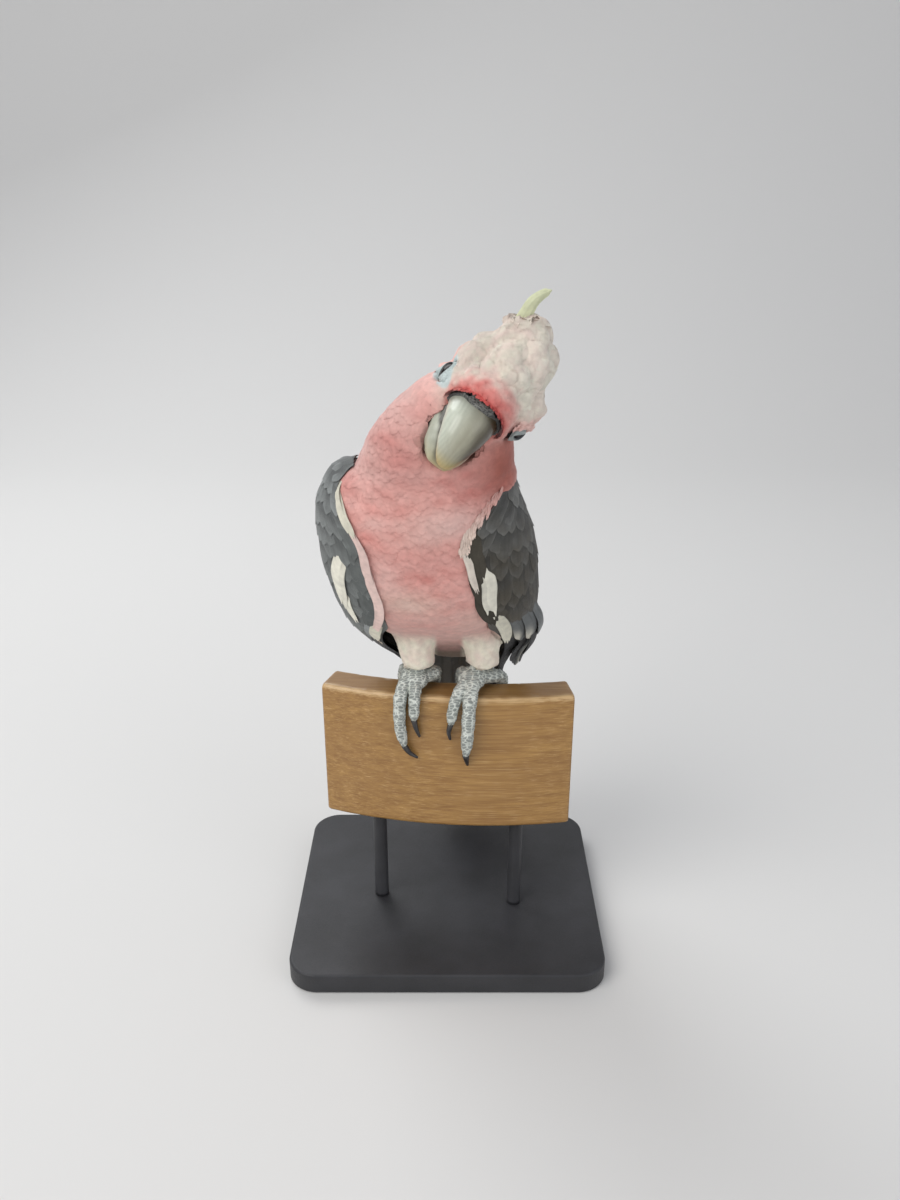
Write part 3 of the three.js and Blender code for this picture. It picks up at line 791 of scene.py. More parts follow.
def walked(surface, roots, ways, lengths, widths):
    """Control points of feathers that follow the surface from their roots."""
    places, normals = [], []
    place, normal = surface.nearest(roots)
    way = unit(ways - normal * np.sum(ways * normal, -1, keepdims=True))
    stride = (lengths / (CONTROL_ROWS - 1))[:, None]
    half = (widths / 2)[:, None]
    for _ in range(CONTROL_ROWS):
        across = np.cross(way, normal)
        left, left_normal = beside(surface, place, normal, -across * half)
        right, right_normal = beside(surface, place, normal, across * half)
        places.append(np.stack([left, place, right], 1))
        normals.append(np.stack([left_normal, normal, right_normal], 1))
        ahead, normal = surface.nearest(place + way * stride)
        way = unit((ahead - place) - normal * np.sum((ahead - place) * normal, -1, keepdims=True))
        place = ahead
    return np.stack(places, 1), np.stack(normals, 1)


def scattered(surface, spacing, keep, tries):
    """Points spread over the surface where keep(points) says, about spacing(points) apart."""
    corners = np.array([face[:3] for face in surface.corners])
    area = np.linalg.norm(np.cross(
        surface.places[corners[:, 1]] - surface.places[corners[:, 0]],
        surface.places[corners[:, 2]] - surface.places[corners[:, 0]],
    ), axis=1)
    middles = surface.places[corners].mean(1)
    area = area * keep(middles)
    wanted = spacing(middles)
    count = int(tries * np.sum(area / wanted ** 2))
    chosen = rng.choice(len(corners), count, p=area / area.sum())
    shares = rng.dirichlet([1, 1, 1], count)
    points = np.einsum("nk,nkx->nx", shares, surface.places[corners[chosen]])
    gaps = spacing(points)
    cell = float(gaps.max())
    grid, kept = {}, []
    for i, (point, gap) in enumerate(zip(points, gaps)):
        x, y, z = (int(c // cell) for c in point)
        near = [
            j for dx in (-1, 0, 1) for dy in (-1, 0, 1) for dz in (-1, 0, 1)
            for j in grid.get((x + dx, y + dy, z + dz), ())
        ]
        if near and np.min(np.sum((points[near] - point) ** 2, axis=1)) < gap * gap:
            continue
        grid.setdefault((x, y, z), []).append(i)
        kept.append(i)
    return points[kept]


# ---- Where a tuft's root lies on an unwrap of the skin, for its OFBake patch ----
LOWEST, HIGHEST = -110, 200  # more than the bird's own reach


def unwrap_body(points):
    x, _, y, _ = along(BODY_RINGS, points[:, 2])
    around = np.arctan2(points[:, 1] - y, points[:, 0] - x) / (2 * math.pi) + 0.5
    return np.stack([around, (points[:, 2] - LOWEST) / (HIGHEST - LOWEST)], -1)


def unwrap_head(points):
    h = in_head(points) - SKULL
    around = np.arctan2(h[:, 1], h[:, 2]) / (2 * math.pi) + 0.5
    return np.stack([around, np.arccos(np.clip(unit(h)[:, 0], -1, 1)) / math.pi], -1)


PATCH = 0.003  # side of each feather's own patch on the OFBake map


def plumage(name, batches, material, slot, unwrap, *replaced):
    """One coat piece from batches of feathers: its mesh, colours, barb lines and OFBake map."""
    vertices, faces, colours, maps, barbs, normals = [], [], [], [], [], []
    at = 0
    for batch in batches:
        size = len(batch.u)
        vertices.append(batch.points.reshape(-1, 3))
        normals.append(batch.shading().reshape(-1, 3))
        colours.append(batch.colours.reshape(-1, 3))
        offsets = at + size * np.arange(batch.count)
        faces.append((batch.faces[None] + offsets[:, None, None]).reshape(-1, 3))
        patch = np.stack([batch.v * PATCH / 2, batch.u * PATCH], -1)
        maps.append((unwrap(batch.roots)[:, None, :] * 0.98 + 0.01 + patch[None]).reshape(-1, 2))
        phase = np.broadcast_to(rng.uniform(0, 40, batch.count)[:, None], batch.along.shape)
        barbs.append(np.stack([batch.along, batch.across, phase], -1).reshape(-1, 3))
        at += size * batch.count
    vertices, faces = np.concatenate(vertices), np.concatenate(faces)
    mesh = bpy.data.meshes.new(name)
    mesh.vertices.add(len(vertices))
    mesh.vertices.foreach_set("co", world(vertices).astype(np.float32).ravel())
    mesh.loops.add(faces.size)
    mesh.loops.foreach_set("vertex_index", faces.astype(np.int32).ravel())
    mesh.polygons.add(len(faces))
    mesh.polygons.foreach_set("loop_start", np.arange(0, faces.size, 3, dtype=np.int32))
    mesh.update(calc_edges=True)
    piece = linked(name, mesh)
    paint(piece, np.concatenate(colours))
    layer = mesh.uv_layers.new(name="OFBake")
    places = np.concatenate(maps)[faces.ravel()]
    layer.data.foreach_set("uv", places.astype(np.float32).ravel())
    lines = mesh.attributes.new("Barbs", "FLOAT_VECTOR", "POINT")
    lines.data.foreach_set("vector", np.concatenate(barbs).astype(np.float32).ravel())
    mesh.normals_split_custom_set_from_vertices(np.concatenate(normals).astype(np.float32))
    print(f"{name}: {len(faces)} triangles, {sum(batch.count for batch in batches)} feathers")
    finish_piece(piece, material, slot, *replaced)


# ---- Materials ----
class Nodes:
    """Builds one material's node tree; inputs are given by name, as values or as other nodes' outputs."""

    def __init__(self, name):
        self.material = bpy.data.materials.new(name)
        self.material.use_nodes = True
        self.tree = self.material.node_tree
        self.tree.nodes.clear()
        self.shader = self.add("BsdfPrincipled")
        output = self.add("OutputMaterial")
        self.tree.links.new(self.shader.outputs[0], output.inputs["Surface"])

    def add(self, kind, inputs=None, **settings):
        node = self.tree.nodes.new("ShaderNode" + kind)
        for key, value in settings.items():
            setattr(node, key, value)
        for key, value in (inputs or {}).items():
            self.put(node.inputs[key], value)
        return node

    def put(self, socket, value):
        if isinstance(value, bpy.types.NodeSocket):
            self.tree.links.new(value, socket)
        elif isinstance(value, bpy.types.Node):
            self.tree.links.new(value.outputs[0], socket)
        elif hasattr(value, "__len__") and len(value) == 3 and socket.type == "RGBA":
            socket.default_value = (*value, 1)
        else:
            socket.default_value = value

    def set(self, **inputs):
        for key, value in inputs.items():
            self.put(self.shader.inputs[key.replace("_", " ")], value)

    def attribute(self, name):
        return self.add("Attribute", attribute_name=name)

    def place(self):
        return self.add("NewGeometry").outputs["Position"]

    def coat(self, tone):
        """The piece's painted colour, lighter or darker by that tone."""
        grey = self.add("CombineXYZ", {0: tone, 1: tone, 2: tone}).outputs[0]
        return self.mixed(1.0, self.attribute("Coat").outputs["Color"], grey, "MULTIPLY")

    def sum(self, a, share_a, b, share_b):
        return self.math("ADD", self.math("MULTIPLY", a, share_a), self.math("MULTIPLY", b, share_b))

    def noise(self, vector, scale, detail=3, roughness=0.5, stretch=None):
        if stretch:
            vector = self.add("Mapping", {"Vector": vector, "Scale": stretch}).outputs[0]
        inputs = {"Vector": vector, "Scale": scale, "Detail": detail, "Roughness": roughness}
        return self.add("TexNoise", inputs).outputs[0]

    def range(self, value, low, high, out_low, out_high):
        inputs = {"Value": value, "From Min": low, "From Max": high, "To Min": out_low, "To Max": out_high}
        return self.add("MapRange", inputs).outputs[0]

    def math(self, operation, a, b=0.0):
        return self.add("Math", {0: a, 1: b}, operation=operation).outputs[0]

    def mixed(self, share, a, b, mode="MIX"):
        node = self.add("Mix", data_type="RGBA", blend_type=mode)
        self.put(node.inputs[0], share)
        self.put(node.inputs[6], a)
        self.put(node.inputs[7], b)
        return node.outputs[2]

    def bump(self, height, strength, distance):
        inputs = {"Height": height, "Strength": strength, "Distance": distance}
        return self.add("Bump", inputs).outputs[0]


def feather_material(name, rough, sheen, barb, strength):
    """Painted feather: fine barbs slant from the shaft, and small patches differ a little in tone."""
    make = Nodes(name)
    parts = make.add("SeparateXYZ", {0: make.attribute("Barbs").outputs["Vector"]}).outputs
    slant = make.math("MULTIPLY", make.math("ABSOLUTE", parts[1]), 1.1)
    reach = make.math("ADD", make.math("SUBTRACT", parts[0], slant), parts[2])
    wobble = make.noise(make.place(), 900, 2)
    reach = make.math("ADD", reach, make.math("MULTIPLY", wobble, 0.5))
    ridge = make.math("SINE", make.math("MULTIPLY", reach, 2 * math.pi / barb))
    tone = make.range(make.noise(make.place(), 330), 0.3, 0.7, 0.9, 1.08)
    tone = make.math("MULTIPLY", tone, make.range(ridge, -1, 1, 0.955, 1.03))
    make.set(Base_Color=make.coat(tone), Roughness=rough, Normal=make.bump(ridge, strength, 0.00012))
    make.set(Sheen_Weight=sheen, Sheen_Roughness=0.5, Specular_IOR_Level=0.2)
    return make.material


def skin_material():
    """Bare skin under the feathers: fine wrinkles and the coat's own markings, with its painted light and
    shade.
    """
    make = Nodes("down_skin")
    grain = make.noise(make.place(), 1400, 4)
    make.set(Base_Color=make.coat(make.range(grain, 0.3, 0.7, 0.85, 1.08)), Roughness=0.9)
    make.set(Normal=make.bump(grain, 0.4, 0.0004), Specular_IOR_Level=0.2)
    return make.material


BODY_FEATHER = feather_material("pink_plumage", 0.8, 0.25, 0.4, 0.06)
PALE_FEATHER = feather_material("pale_plumage", 0.8, 0.25, 0.35, 0.06)
WING_FEATHER = feather_material("grey_plumage", 0.62, 0.15, 0.7, 0.45)
FLIGHT_FEATHER = feather_material("dark_plumage", 0.5, 0.1, 0.8, 0.5)
PLUME_FEATHER = feather_material("plume_vane", 0.55, 0.2, 0.6, 0.5)


# ---- Skin and the soft coat over it ----
skin = make_skin()
surface = Surface(skin.data)
paint(skin, coat_colour(surface.places))
finish_piece(skin, skin_material(), "pink_feathers", *FLESH)


def feathered(points):
    h = in_head(points)
    mouth = np.linalg.norm((h - [9, 0, -8.5]) / [1.1, 1.25, 1.35], axis=1) < 7.1
    bare = np.maximum(np.maximum(bare_patch(points), mouth), smooth(0.25, 0.6, at_mandible(points)))
    return (1 - under_wing(points)) * (1 - bare)


def from_cere(points):
    """0 next to the cere and the corner of the mouth, 1 well away from them."""
    return smooth(12, 19, np.linalg.norm(in_head(points) - [11, 0, -2], axis=1))


def coat_spacing(points):
    spacing = mix(2.3, 2.0, smooth(96, 130, points[:, 2]))
    spacing = mix(spacing, mix(0.95, 1.25, from_cere(points)), headness(points))
    return mix(spacing, 1.8, on_thigh(points))


roots = scattered(surface, coat_spacing, feathered, 7)
_, root_normals = surface.nearest(roots)


def crest_share(points):
    h = in_head(points)
    return smooth(12, 18, h[:, 2] + 0.25 * (-h[:, 0]) - 2)


def coat_size(points):
    """Length and width of the feather rooted at each point."""
    headed = headness(points)
    length, width = 12.5, 8.6
    for share, there_long, there_wide in (
        (smooth(96, 130, points[:, 2]), 11.0, 7.0),
        (headed, 6.0, 3.6),
        (on_thigh(points), 8.5, 5.0),
        (crest_share(points) * headed, 10.5, 5.2),
        ((1 - from_cere(points)) * headed, 3.6, 2.7),
    ):
        length, width = mix(length, there_long, share), mix(width, there_wide, share)
    return length * mix(0.85, 1, smooth(10, 40, points[:, 2])), width


def grown(shape, places, ways, lengths, widths, relief):
    """Feathers that follow the skin from their roots."""
    controls, normals = walked(surface, places, ways, lengths, widths)
    return Batch(shape, controls, normals, lengths, widths, relief)


def coat_piece(name, chosen, shape, material, slot, unwrap=unwrap_body):
    places = roots[chosen]
    length, width = coat_size(places)
    length = length * rng.uniform(0.88, 1.12, len(places))
    ways = lie(places, root_normals[chosen]) + rng.normal(0, 0.09, places.shape)
    batch = grown(shape, places, ways, length, width, 0.12)
    depth = coat_depth(places)
    top = depth * rng.uniform(0.86, 1.0, len(places))
    batch.lifted(depth * 0.5, top, 0.8, 0.16, rng.normal(0, 0.08, len(places)))
    # Painted shade: each feather is a little darker at its root, under the feathers that lie over it.
    root_shade = 0.96 + 0.06 * smooth(0.2, 0.95, batch.u)
    batch.marked(coat_colour, 0.022, root_shade)
    batch.points = tucked(batch.points.reshape(-1, 3)).reshape(batch.points.shape)
    plumage(name, [batch], material, slot, unwrap)


headed = headness(roots) > 0.5
crested = headed & (crest_share(roots) > 0.5)
thighs = ~headed & (on_thigh(roots) > 0.5)
necked = ~headed & ~thighs & (roots[:, 2] > 100)
backed = ~headed & ~thighs & ~necked & (body_angle(roots) > 20)
breasted = ~headed & ~thighs & ~necked & ~backed
fine = soft_vane(5, 3, 15)
soft = soft_vane(6, 4, 23)
coat_piece("coat_face", headed & ~crested, fine, PALE_FEATHER, "pale_feathers", unwrap_head)
coat_piece("coat_crest", crested, soft, PALE_FEATHER, "pale_feathers", unwrap_head)
coat_piece("coat_neck", necked, soft, BODY_FEATHER, "pink_feathers")
coat_piece("coat_breast", breasted, soft, BODY_FEATHER, "pink_feathers")
coat_piece("coat_back", backed, soft, WING_FEATHER, "grey_feathers")
coat_piece("coat_thighs", thighs, soft, PALE_FEATHER, "pale_feathers")


PETAL_GAP = 5.8


def crown_height(points):
    """Head units over the line from the bill's top to the back of the head."""
    h = in_head(points)
    return h[:, 2] - 0.45 * h[:, 0]


def from_plume(points):
    return np.linalg.norm(in_head(points) - PLUME_BASE, axis=1)


def crowned(points):
    """1 on the crown and crest, but for a ring round the plume."""
    return headness(points) * smooth(4, 9, crown_height(points)) * smooth(6, 9, from_plume(points))


def petals():
    """Broad soft feathers that overlap in loose clumps over the crown and crest."""
    places = scattered(surface, lambda p: np.full(len(p), PETAL_GAP), crowned, 9)
    count = len(places)
    _, up = surface.nearest(places)
    ways = lie(places, up) + rng.normal(0, 0.22, places.shape)
    lengths = rng.uniform(11.0, 16.0, count) * mix(0.65, 1.0, smooth(5, 16, crown_height(places)))
    widths = lengths * rng.uniform(0.62, 0.8, count)
    batch = grown(soft_vane(10, 8, 33), places, ways, lengths, widths, 0.5)
    high = rng.uniform(1.2, 1.8, count) * mix(0.4, 1.0, smooth(8, 26, from_plume(places)))
    batch.lifted(0.5, high, 0.9, 0.9, rng.normal(0, 0.15, count))
    # Painted shade: each petal is a little darker at its root, under the feathers that lie over it.
    return batch.marked(head_colour, 0.035, 0.93 + 0.09 * smooth(0.3, 0.95, batch.u))


plumage("coat_petals", [petals()], PALE_FEATHER, "pale_feathers", unwrap_head)


# ---- Wings ----
OUTER = 1.4  # how far a folded wing's outer face stands over the body's outline


def arc_at(heights, shares, side):
    """Millimetres round the wing for a whole share, at each place."""
    step = 0.01
    return np.linalg.norm(
        on_wing(heights, shares + step, side) - on_wing(heights, shares - step, side), axis=-1,
    ) / (2 * step)


def raised(heights, shares, side):
    """How far up the right shoulder's feathers stand over the folded wing's outline."""
    if side > 0:
        return 0 * heights
    ridge = np.interp(heights, [78, 96, 108, 116, 122, 130], [0, 1.8, 4.0, 5.8, 4.4, 0.6])
    return ridge * smooth(-0.02, 0.45, shares) * smooth(1.25, 0.85, shares)


def laid_along(side, heights, shares, widths, prouds):
    """Control points of feathers on a folded wing, from heights, shares and proudness in every row."""
    places, normals = [], []
    for row in range(CONTROL_ROWS):
        height, share, proud = heights[:, row], shares[:, row], prouds[:, row]
        half = widths / 2 / arc_at(height, share, side)
        trio = []
        for step in (-side, 0, side):
            at = share - step * half
            lift = np.array([0, 0, 1]) * raised(height, at, side)[:, None]
            trio.append(on_wing(height, at, side, proud) + lift)
        places.append(np.stack(trio, 1))
        normals.append(wing_normals(places[-1], height[:, None] + np.zeros((1, 3))))
    return np.stack(places, 1), np.stack(normals, 1)


ROW_AT = np.linspace(0, 1, CONTROL_ROWS)[None, :]


def laid(side, root, tip, widths, proud):
    """Control points of straight feathers, each from a root to a tip given as (height, share)."""
    heights = mix(root[0][:, None], tip[0][:, None], ROW_AT)
    shares = mix(root[1][:, None], tip[1][:, None], ROW_AT)
    return laid_along(side, heights, shares, widths, proud + 0 * heights)


# Painted shade: the left wing's grey is darker and browner than the right's.
WING_GREY_LIT_AND_SHADED = {"left": linear("#4a453b"), "right": linear("#6f7371")}
# Long feathers near each wing's front edge: the heights of their ends, the shares along them, width, colour
# and proudness.
STREAKS = {
    "left": [
        (112, 76, (0.03, 0.03, 0.03, 0.03, 0.03), 7.0, WING_GREY_LIT_AND_SHADED["left"], 1.3),
        (94, 60, (0.02, 0.02, 0.02, 0.02, 0.02), 7.0, WING_GREY_LIT_AND_SHADED["left"] * 0.85, 1.3),
        (80, 44, (0.02, 0.02, 0.015, 0.01, 0.01), 7.0, WING_GREY_LIT_AND_SHADED["left"] * 0.8, 1.3),
        (98, 52, (0.06, 0.065, 0.06, 0.04, 0.02), 6.2, WHITE, 1.9),
        (68, 24, (0.035, 0.04, 0.045, 0.035, 0.02), 6.2, CREAM, 1.9),
        (104, 70, (-0.008, -0.008, -0.005, -0.002, 0.0), 2.8, mix(WHITE, PALE_PINK, 0.3), 1.8),
    ],
    "right": [
        (118, 86, (0.05, 0.05, 0.05, 0.05, 0.05), 7.0, WING_GREY_LIT_AND_SHADED["right"] * 0.9, 1.2),
        (100, 66, (0.04, 0.045, 0.05, 0.055, 0.06), 8.0, WING_GREY_LIT_AND_SHADED["right"] * 0.8, 1.2),
        (84, 50, (0.04, 0.05, 0.06, 0.065, 0.07), 8.0, WING_GREY_LIT_AND_SHADED["right"] * 0.7, 1.2),
        (68, 38, (0.05, 0.055, 0.06, 0.065, 0.07), 8.0, WING_GREY_LIT_AND_SHADED["right"] * 0.75, 1.2),
        (102, 52, (0.10, 0.145, 0.19, 0.215, 0.21), 8.0, WHITE, 1.9),
        (78, 40, (0.19, 0.20, 0.20, 0.18, 0.145), 5.6, WHITE, 1.8),
        (126, 98, (-0.01, -0.015, -0.015, -0.01, 0.0), 5.6, CREAM, 1.4),
        (116, 70, (0.0, 0.0, 0.0, 0.0, 0.002), 4.0, PALE_PINK, 1.5),
        (98, 50, (0.0, 0.0, 0.002, 0.006, 0.014), 4.0, PALE_PINK, 1.6),
        (78, 34, (0.0, 0.004, 0.01, 0.02, 0.03), 4.0, PALE_PINK, 1.7),
        (54, 26, (0.03, 0.03, 0.03, 0.03, 0.03), 6.0, CREAM, 1.8),
        (50, 30, (0.06, 0.07, 0.07, 0.07, 0.07), 5.0, PALE_GREY, 1.6),
    ],
}


def streak_batch(side_name, side):
    """The long feathers near each wing's front edge: every streak is three narrow ones side by side."""
    heights, shares, widths, prouds, colours = [], [], [], [], []
    for high, low, across, width, colour, proud in STREAKS[side_name]:
        for step in (-0.24, 0.0, 0.24):
            stagger = abs(step) * (0.8 if width > 5.5 else 0.2)
            drop = 14 * stagger + rng.uniform(-1, 1)
            heights.append(mix(high - 24 * stagger + 6 * step, low + drop, ROW_AT[0]))
            shares.append(np.array(across) + step * width / 95)
            widths.append(width * 0.72)
            prouds.append(mix(OUTER - 2.0, proud - 0.3 * abs(step), smooth(0, 0.5, ROW_AT[0])))
            colours.append(colour * rng.uniform(0.9, 1.03))
    widths = np.array(widths)
    places, normals = laid_along(side, np.array(heights), np.array(shares), widths, np.array(prouds))
    lengths = np.linalg.norm(places[:, 0, 1] - places[:, -1, 1], axis=1)
    batch = Batch(close_vane(16, 6, 0.5, 0.2, 0, 0.1), places, normals, lengths, widths, 0.3)
    batch.lifted(0.0, 0.25, 1.0, 0.35)
    edge = 1 - 0.16 * smooth(0.75, 1.0, np.abs(batch.v))
    grain = 1 + 0.06 * batch.mottle(6, 25)
    return batch.painted(np.array(colours)[:, None, :] * edge[None, :, None] * grain[..., None])


def wing_colour(points, side_name, heights, shares):
    """A folded wing's markings at its heights and shares: greys, paler higher up and further back; the left
    wing's grey is darker, as painted shade.
    """
    patchy = waves(points, 14, 21) * 0.5 + waves(points, 6, 22) * 0.5
    colours = blended(tint(WING_GREY_LIT_AND_SHADED[side_name], points), DARK_GREY, np.clip(0.1 + 0.2 * patchy, 0, 1))
    paler = smooth(70, 118, heights) * 0.35 + smooth(0.45, 0.95, shares) * 0.45
    return blended(colours, PALE_GREY, np.clip(paler + 0.1 * patchy, 0, 0.8))


def wing_colours(batch, name, side, root, tip, widths):
    """A folded wing's markings over straight feathers, each from a root to a tip given as (height, share)."""
    heights = mix(root[0][:, None], tip[0][:, None], batch.u)
    half = widths / 2 / arc_at(tip[0], tip[1], side)
    shares = mix(root[1][:, None], tip[1][:, None], batch.u) - side * half[:, None] * batch.v
    flat = batch.points.reshape(-1, 3)
    return wing_colour(flat, name, heights.ravel(), shares.ravel()).reshape(batch.points.shape)


COVERT_ROWS = 11
COVERT_WIDEST = 0.62
COVERT_ROOT = 0.6
COVERT = close_vane(10, 8, COVERT_WIDEST, COVERT_ROOT, 0, 0.12)


def covert_row(name, side, index):
    """One row of coverts, the rows numbered downward from the shoulder, their feathers staggered."""
    t = index / (COVERT_ROWS - 1)
    top, drop = mix(121, 42, t ** 1.1), mix(2, 46, t ** 1.3)
    length, width, lean = mix(12.5, 33, t ** 1.3), mix(8.2, 12, t), mix(0.01, 0.08, t)
    arc = float(arc_at(np.array([top]), np.array([0.4]), side)[0])
    count = int(arc * 1.04 / (width * 0.62))
    shares = (np.arange(count) + 0.5 * (index % 2)) / count * 1.02 - 0.01
    shares = shares + rng.normal(0, 0.16 / count, count)
    tips = top - drop * shares + rng.normal(0, 0.11 * length, count)
    shares = np.maximum(shares, 0.4 * width / arc)
    clear = (shares > 0.16) | (tips < 104) | (side < 0)
    shares, tips, count = shares[clear], tips[clear], int(clear.sum())
    lengths = length * rng.uniform(0.85, 1.15, count)
    widths = width * rng.uniform(0.85, 1.12, count)
    root, tip = (np.minimum(tips + lengths, WING_TOP + 2), shares + lean), (tips, shares)
    places, normals = laid(side, root, tip, widths, OUTER - 1.0)
    batch = Batch(COVERT, places, normals, lengths, widths, 0.75)
    batch.lifted(0.0, rng.uniform(0.7, 1.1, count), 0.9, 0.35, rng.normal(0, 0.1, count))
    colours = wing_colours(batch, name, side, root, tip, widths)
    # Each feather is paler along its edges and darker at its very rim; its root, where the row above overlaps
    # it, is painted darker as painted shadow.
    reach = outline(np.minimum(batch.u, 0.985), COVERT_WIDEST, COVERT_ROOT)
    rim = np.clip(np.abs(batch.v) / np.maximum(reach, 0.1), 0, 1)
    edge = np.maximum(smooth(0.7, 0.92, rim), smooth(0.84, 0.95, batch.u))
    pale = (0.45 if side > 0 else 0.3) * edge
    dark = 0.45 * (1 - smooth(0.45, 0.82, batch.u)) + 0.2 * smooth(0.95, 1.0, np.maximum(rim, batch.u))
    shade = shafted(batch.v, 0.12, 0.1) * (1 - dark)
    tone = rng.normal(1, 0.1, (count, 1, 1)) * shade[None, :, None]
    return batch.painted(mix(colours * tone, colours * 1.5 + 0.03, pale[None, :, None]))


def long_batch(name, side, roots_at, tips_at, widths, prouds, shape, dark, lift):
    """Secondaries or primaries, one control strip each."""
    places, normals = laid(side, roots_at.T, tips_at.T, widths, 0.0)
    lengths = np.linalg.norm(places[:, 0, 1] - places[:, -1, 1], axis=1)
    batch = Batch(shape, places, normals, lengths, widths, 0.8)
    batch.lifted(prouds, prouds + lift, 1.0, 0.45)
    colours = wing_colours(batch, name, side, roots_at.T, tips_at.T, widths)
    colours = mix(colours, dark, 0.25 if dark is GREY else 0.93)
    pale = (0.3 if dark is GREY else 0.1) * smooth(0.72, 1.0, np.abs(batch.v))
    tone = rng.normal(1, 0.08, (batch.count, 1, 1)) * shafted(batch.v, 0.25, 0.07)[None, :, None]
    return batch.painted(mix(colours * tone, colours * 1.7 + 0.03, pale[None, :, None]))


def secondaries(name, side):
    """The long inner flight feathers, whose tips step down and back; the ones nearest the back lie on top."""
    count = 13
    t = np.linspace(0, 1, count)
    tips = np.stack([36 - 78 * t ** 0.9, 0.93 * t], 1)
    length = mix(34, 62, smooth(0, 0.6, t))
    starts = np.stack([tips[:, 0] + length, tips[:, 1] + 0.1 * (1 - t)], 1)
    widths = mix(10, 15, t)
    prouds = mix(0.1, 0.9, t)
    shape = close_vane(14, 8, 0.7, 0.7, 0.22, 0.3)
    return long_batch(name, side, starts, tips, widths, prouds, shape, GREY, 0.7)


def primaries(name, side):
    """The dark outer flight feathers: each longer one lies under the one before it."""
    count = 8
    t = np.linspace(0, 1, count)
    tips = np.stack([mix(4, -107, t ** 0.92), 0.14 + 0.22 * t], 1)
    starts = np.stack([np.full(count, 40.0), mix(0.02, 0.3, t)], 1)
    widths = mix(9, 11, t)
    prouds = mix(0.2, -1.4, t)
    shape = close_vane(20, 6, 0.6, 0.8, 0.22, 0.3)
    return long_batch(name, side, starts, tips, widths, prouds, shape, BLACK, 0.4)


# Feathers that hang past the left wing's lower edge: heights and shares of their ends, width, proudness
# and colours.
INKY = BLACK * 0.4
LOW_FEATHERS = [
    (46, -10, 0.44, 0.36, 13, 7.5, GREY, WHITE), (48, -4, 0.34, 0.28, 13, 8.0, INKY, INKY),
    (50, 4, 0.30, 0.24, 12, 7.4, INKY, INKY), (46, -2, 0.22, 0.17, 12, 4.6, INKY, INKY),
    (52, 21, 0.36, 0.32, 13, 7.0, GREY, PALE_GREY), (52, 22, 0.24, 0.2, 12, 5.0, GREY, WHITE),
    (50, 24, 0.14, 0.12, 10, 3.0, GREY, WHITE),
]


def low_feathers(side):
    high, low, start, end, widths, prouds = (
        np.array([row[i] for row in LOW_FEATHERS], float) for i in range(6)
    )
    heights = mix(high[:, None], low[:, None], ROW_AT)
    shares = mix(start[:, None], end[:, None], ROW_AT)
    rise = mix(0.2, prouds[:, None], smooth(0.0, 0.75, ROW_AT))
    places, normals = laid_along(side, heights, shares, widths, rise)
    batch = Batch(close_vane(16, 8, 0.68, 0.7, 0.22, 0.3), places, normals, high - low, widths, 0.8)
    batch.lifted(0.0, 0.0, 1.0, 0.5)
    far = smooth(0.45, 0.9, batch.u) * smooth(0.35, 0.75, np.abs(batch.v + 0.3))
    base = np.array([row[6] for row in LOW_FEATHERS])[:, None, :]
    tips = np.array([row[7] for row in LOW_FEATHERS])[:, None, :]
    shade = shafted(batch.v, 0.25, 0.07)
    return batch.painted(mix(base, tips, (0.85 * far)[None, :, None]) * shade[None, :, None])


def flank_colour(points):
    """The breast's colour, whiter lower down."""
    return blended(body_colour(points), WHITE, 0.15 + 0.5 * smooth(114, 98, points[:, 2]))


def flank():
    """Soft breast feathers that lie over the front edge of the left wing."""
    count = 260
    heights = rng.uniform(98, 122, count)
    shares = rng.uniform(-0.055, -0.025, count)
    starts = on_wing(heights, shares, 1, -1)
    ways = unit(on_wing(heights - 8, shares + 0.03, 1) - starts) + rng.normal(0, 0.12, starts.shape)
    batch = grown(soft, starts, ways, rng.uniform(5, 8, count), np.full(count, 1.3), 0.12)
    batch.lifted(0.7, rng.uniform(1.8, 2.8, count), 1.0, 0.2)
    return batch.marked(flank_colour, 0.03)


def cheek():
    """Soft feathers that hang from the left cheek and shade the top of the eye."""
    count = 150
    off = np.stack([rng.uniform(-3.5, 7.5, count), np.full(count, 2.0), rng.uniform(1.5, 8.5, count)], -1)
    starts, _ = surface.nearest(EYES["left"] + off @ HEAD_AXES.T)
    ways = HEAD_AXES @ np.array([-0.35, 0.1, -1.0]) + rng.normal(0, 0.1, starts.shape)
    lengths = rng.uniform(4, 6, count)
    widths = rng.uniform(2.4, 3.6, count)
    batch = grown(soft, starts, ways, lengths, widths, 0.15)
    batch.lifted(0.6, rng.uniform(1.2, 2.2, count), 0.9, 0.3)
    return batch.marked(lambda points: mix(head_colour(points), SOFT_PINK, 0.45), 0.03)


plumage("coat_cheek", [cheek()], PALE_FEATHER, "pale_feathers", unwrap_head)
plumage("coat_flank", [flank()], BODY_FEATHER, "pink_feathers", unwrap_body)
for name, side in SIDES.items():
    coverts = [covert_row(name, side, index) for index in range(COVERT_ROWS)]
    coverts.append(streak_batch(name, side))
    plumage(f"coverts_{name}", coverts, WING_FEATHER, "grey_feathers", unwrap_body)
    flight = [secondaries(name, side), primaries(name, side)]
    if side > 0:
        flight.append(low_feathers(side))
    plumage(f"flight_{name}", flight, FLIGHT_FEATHER, "dark_feathers", unwrap_body, f"wing_tip_{name}")


# ---- Tail ----
TAIL = {"root": (6, 35.5, 14), "length": 150, "slope": 66.5, "pairs": 6}


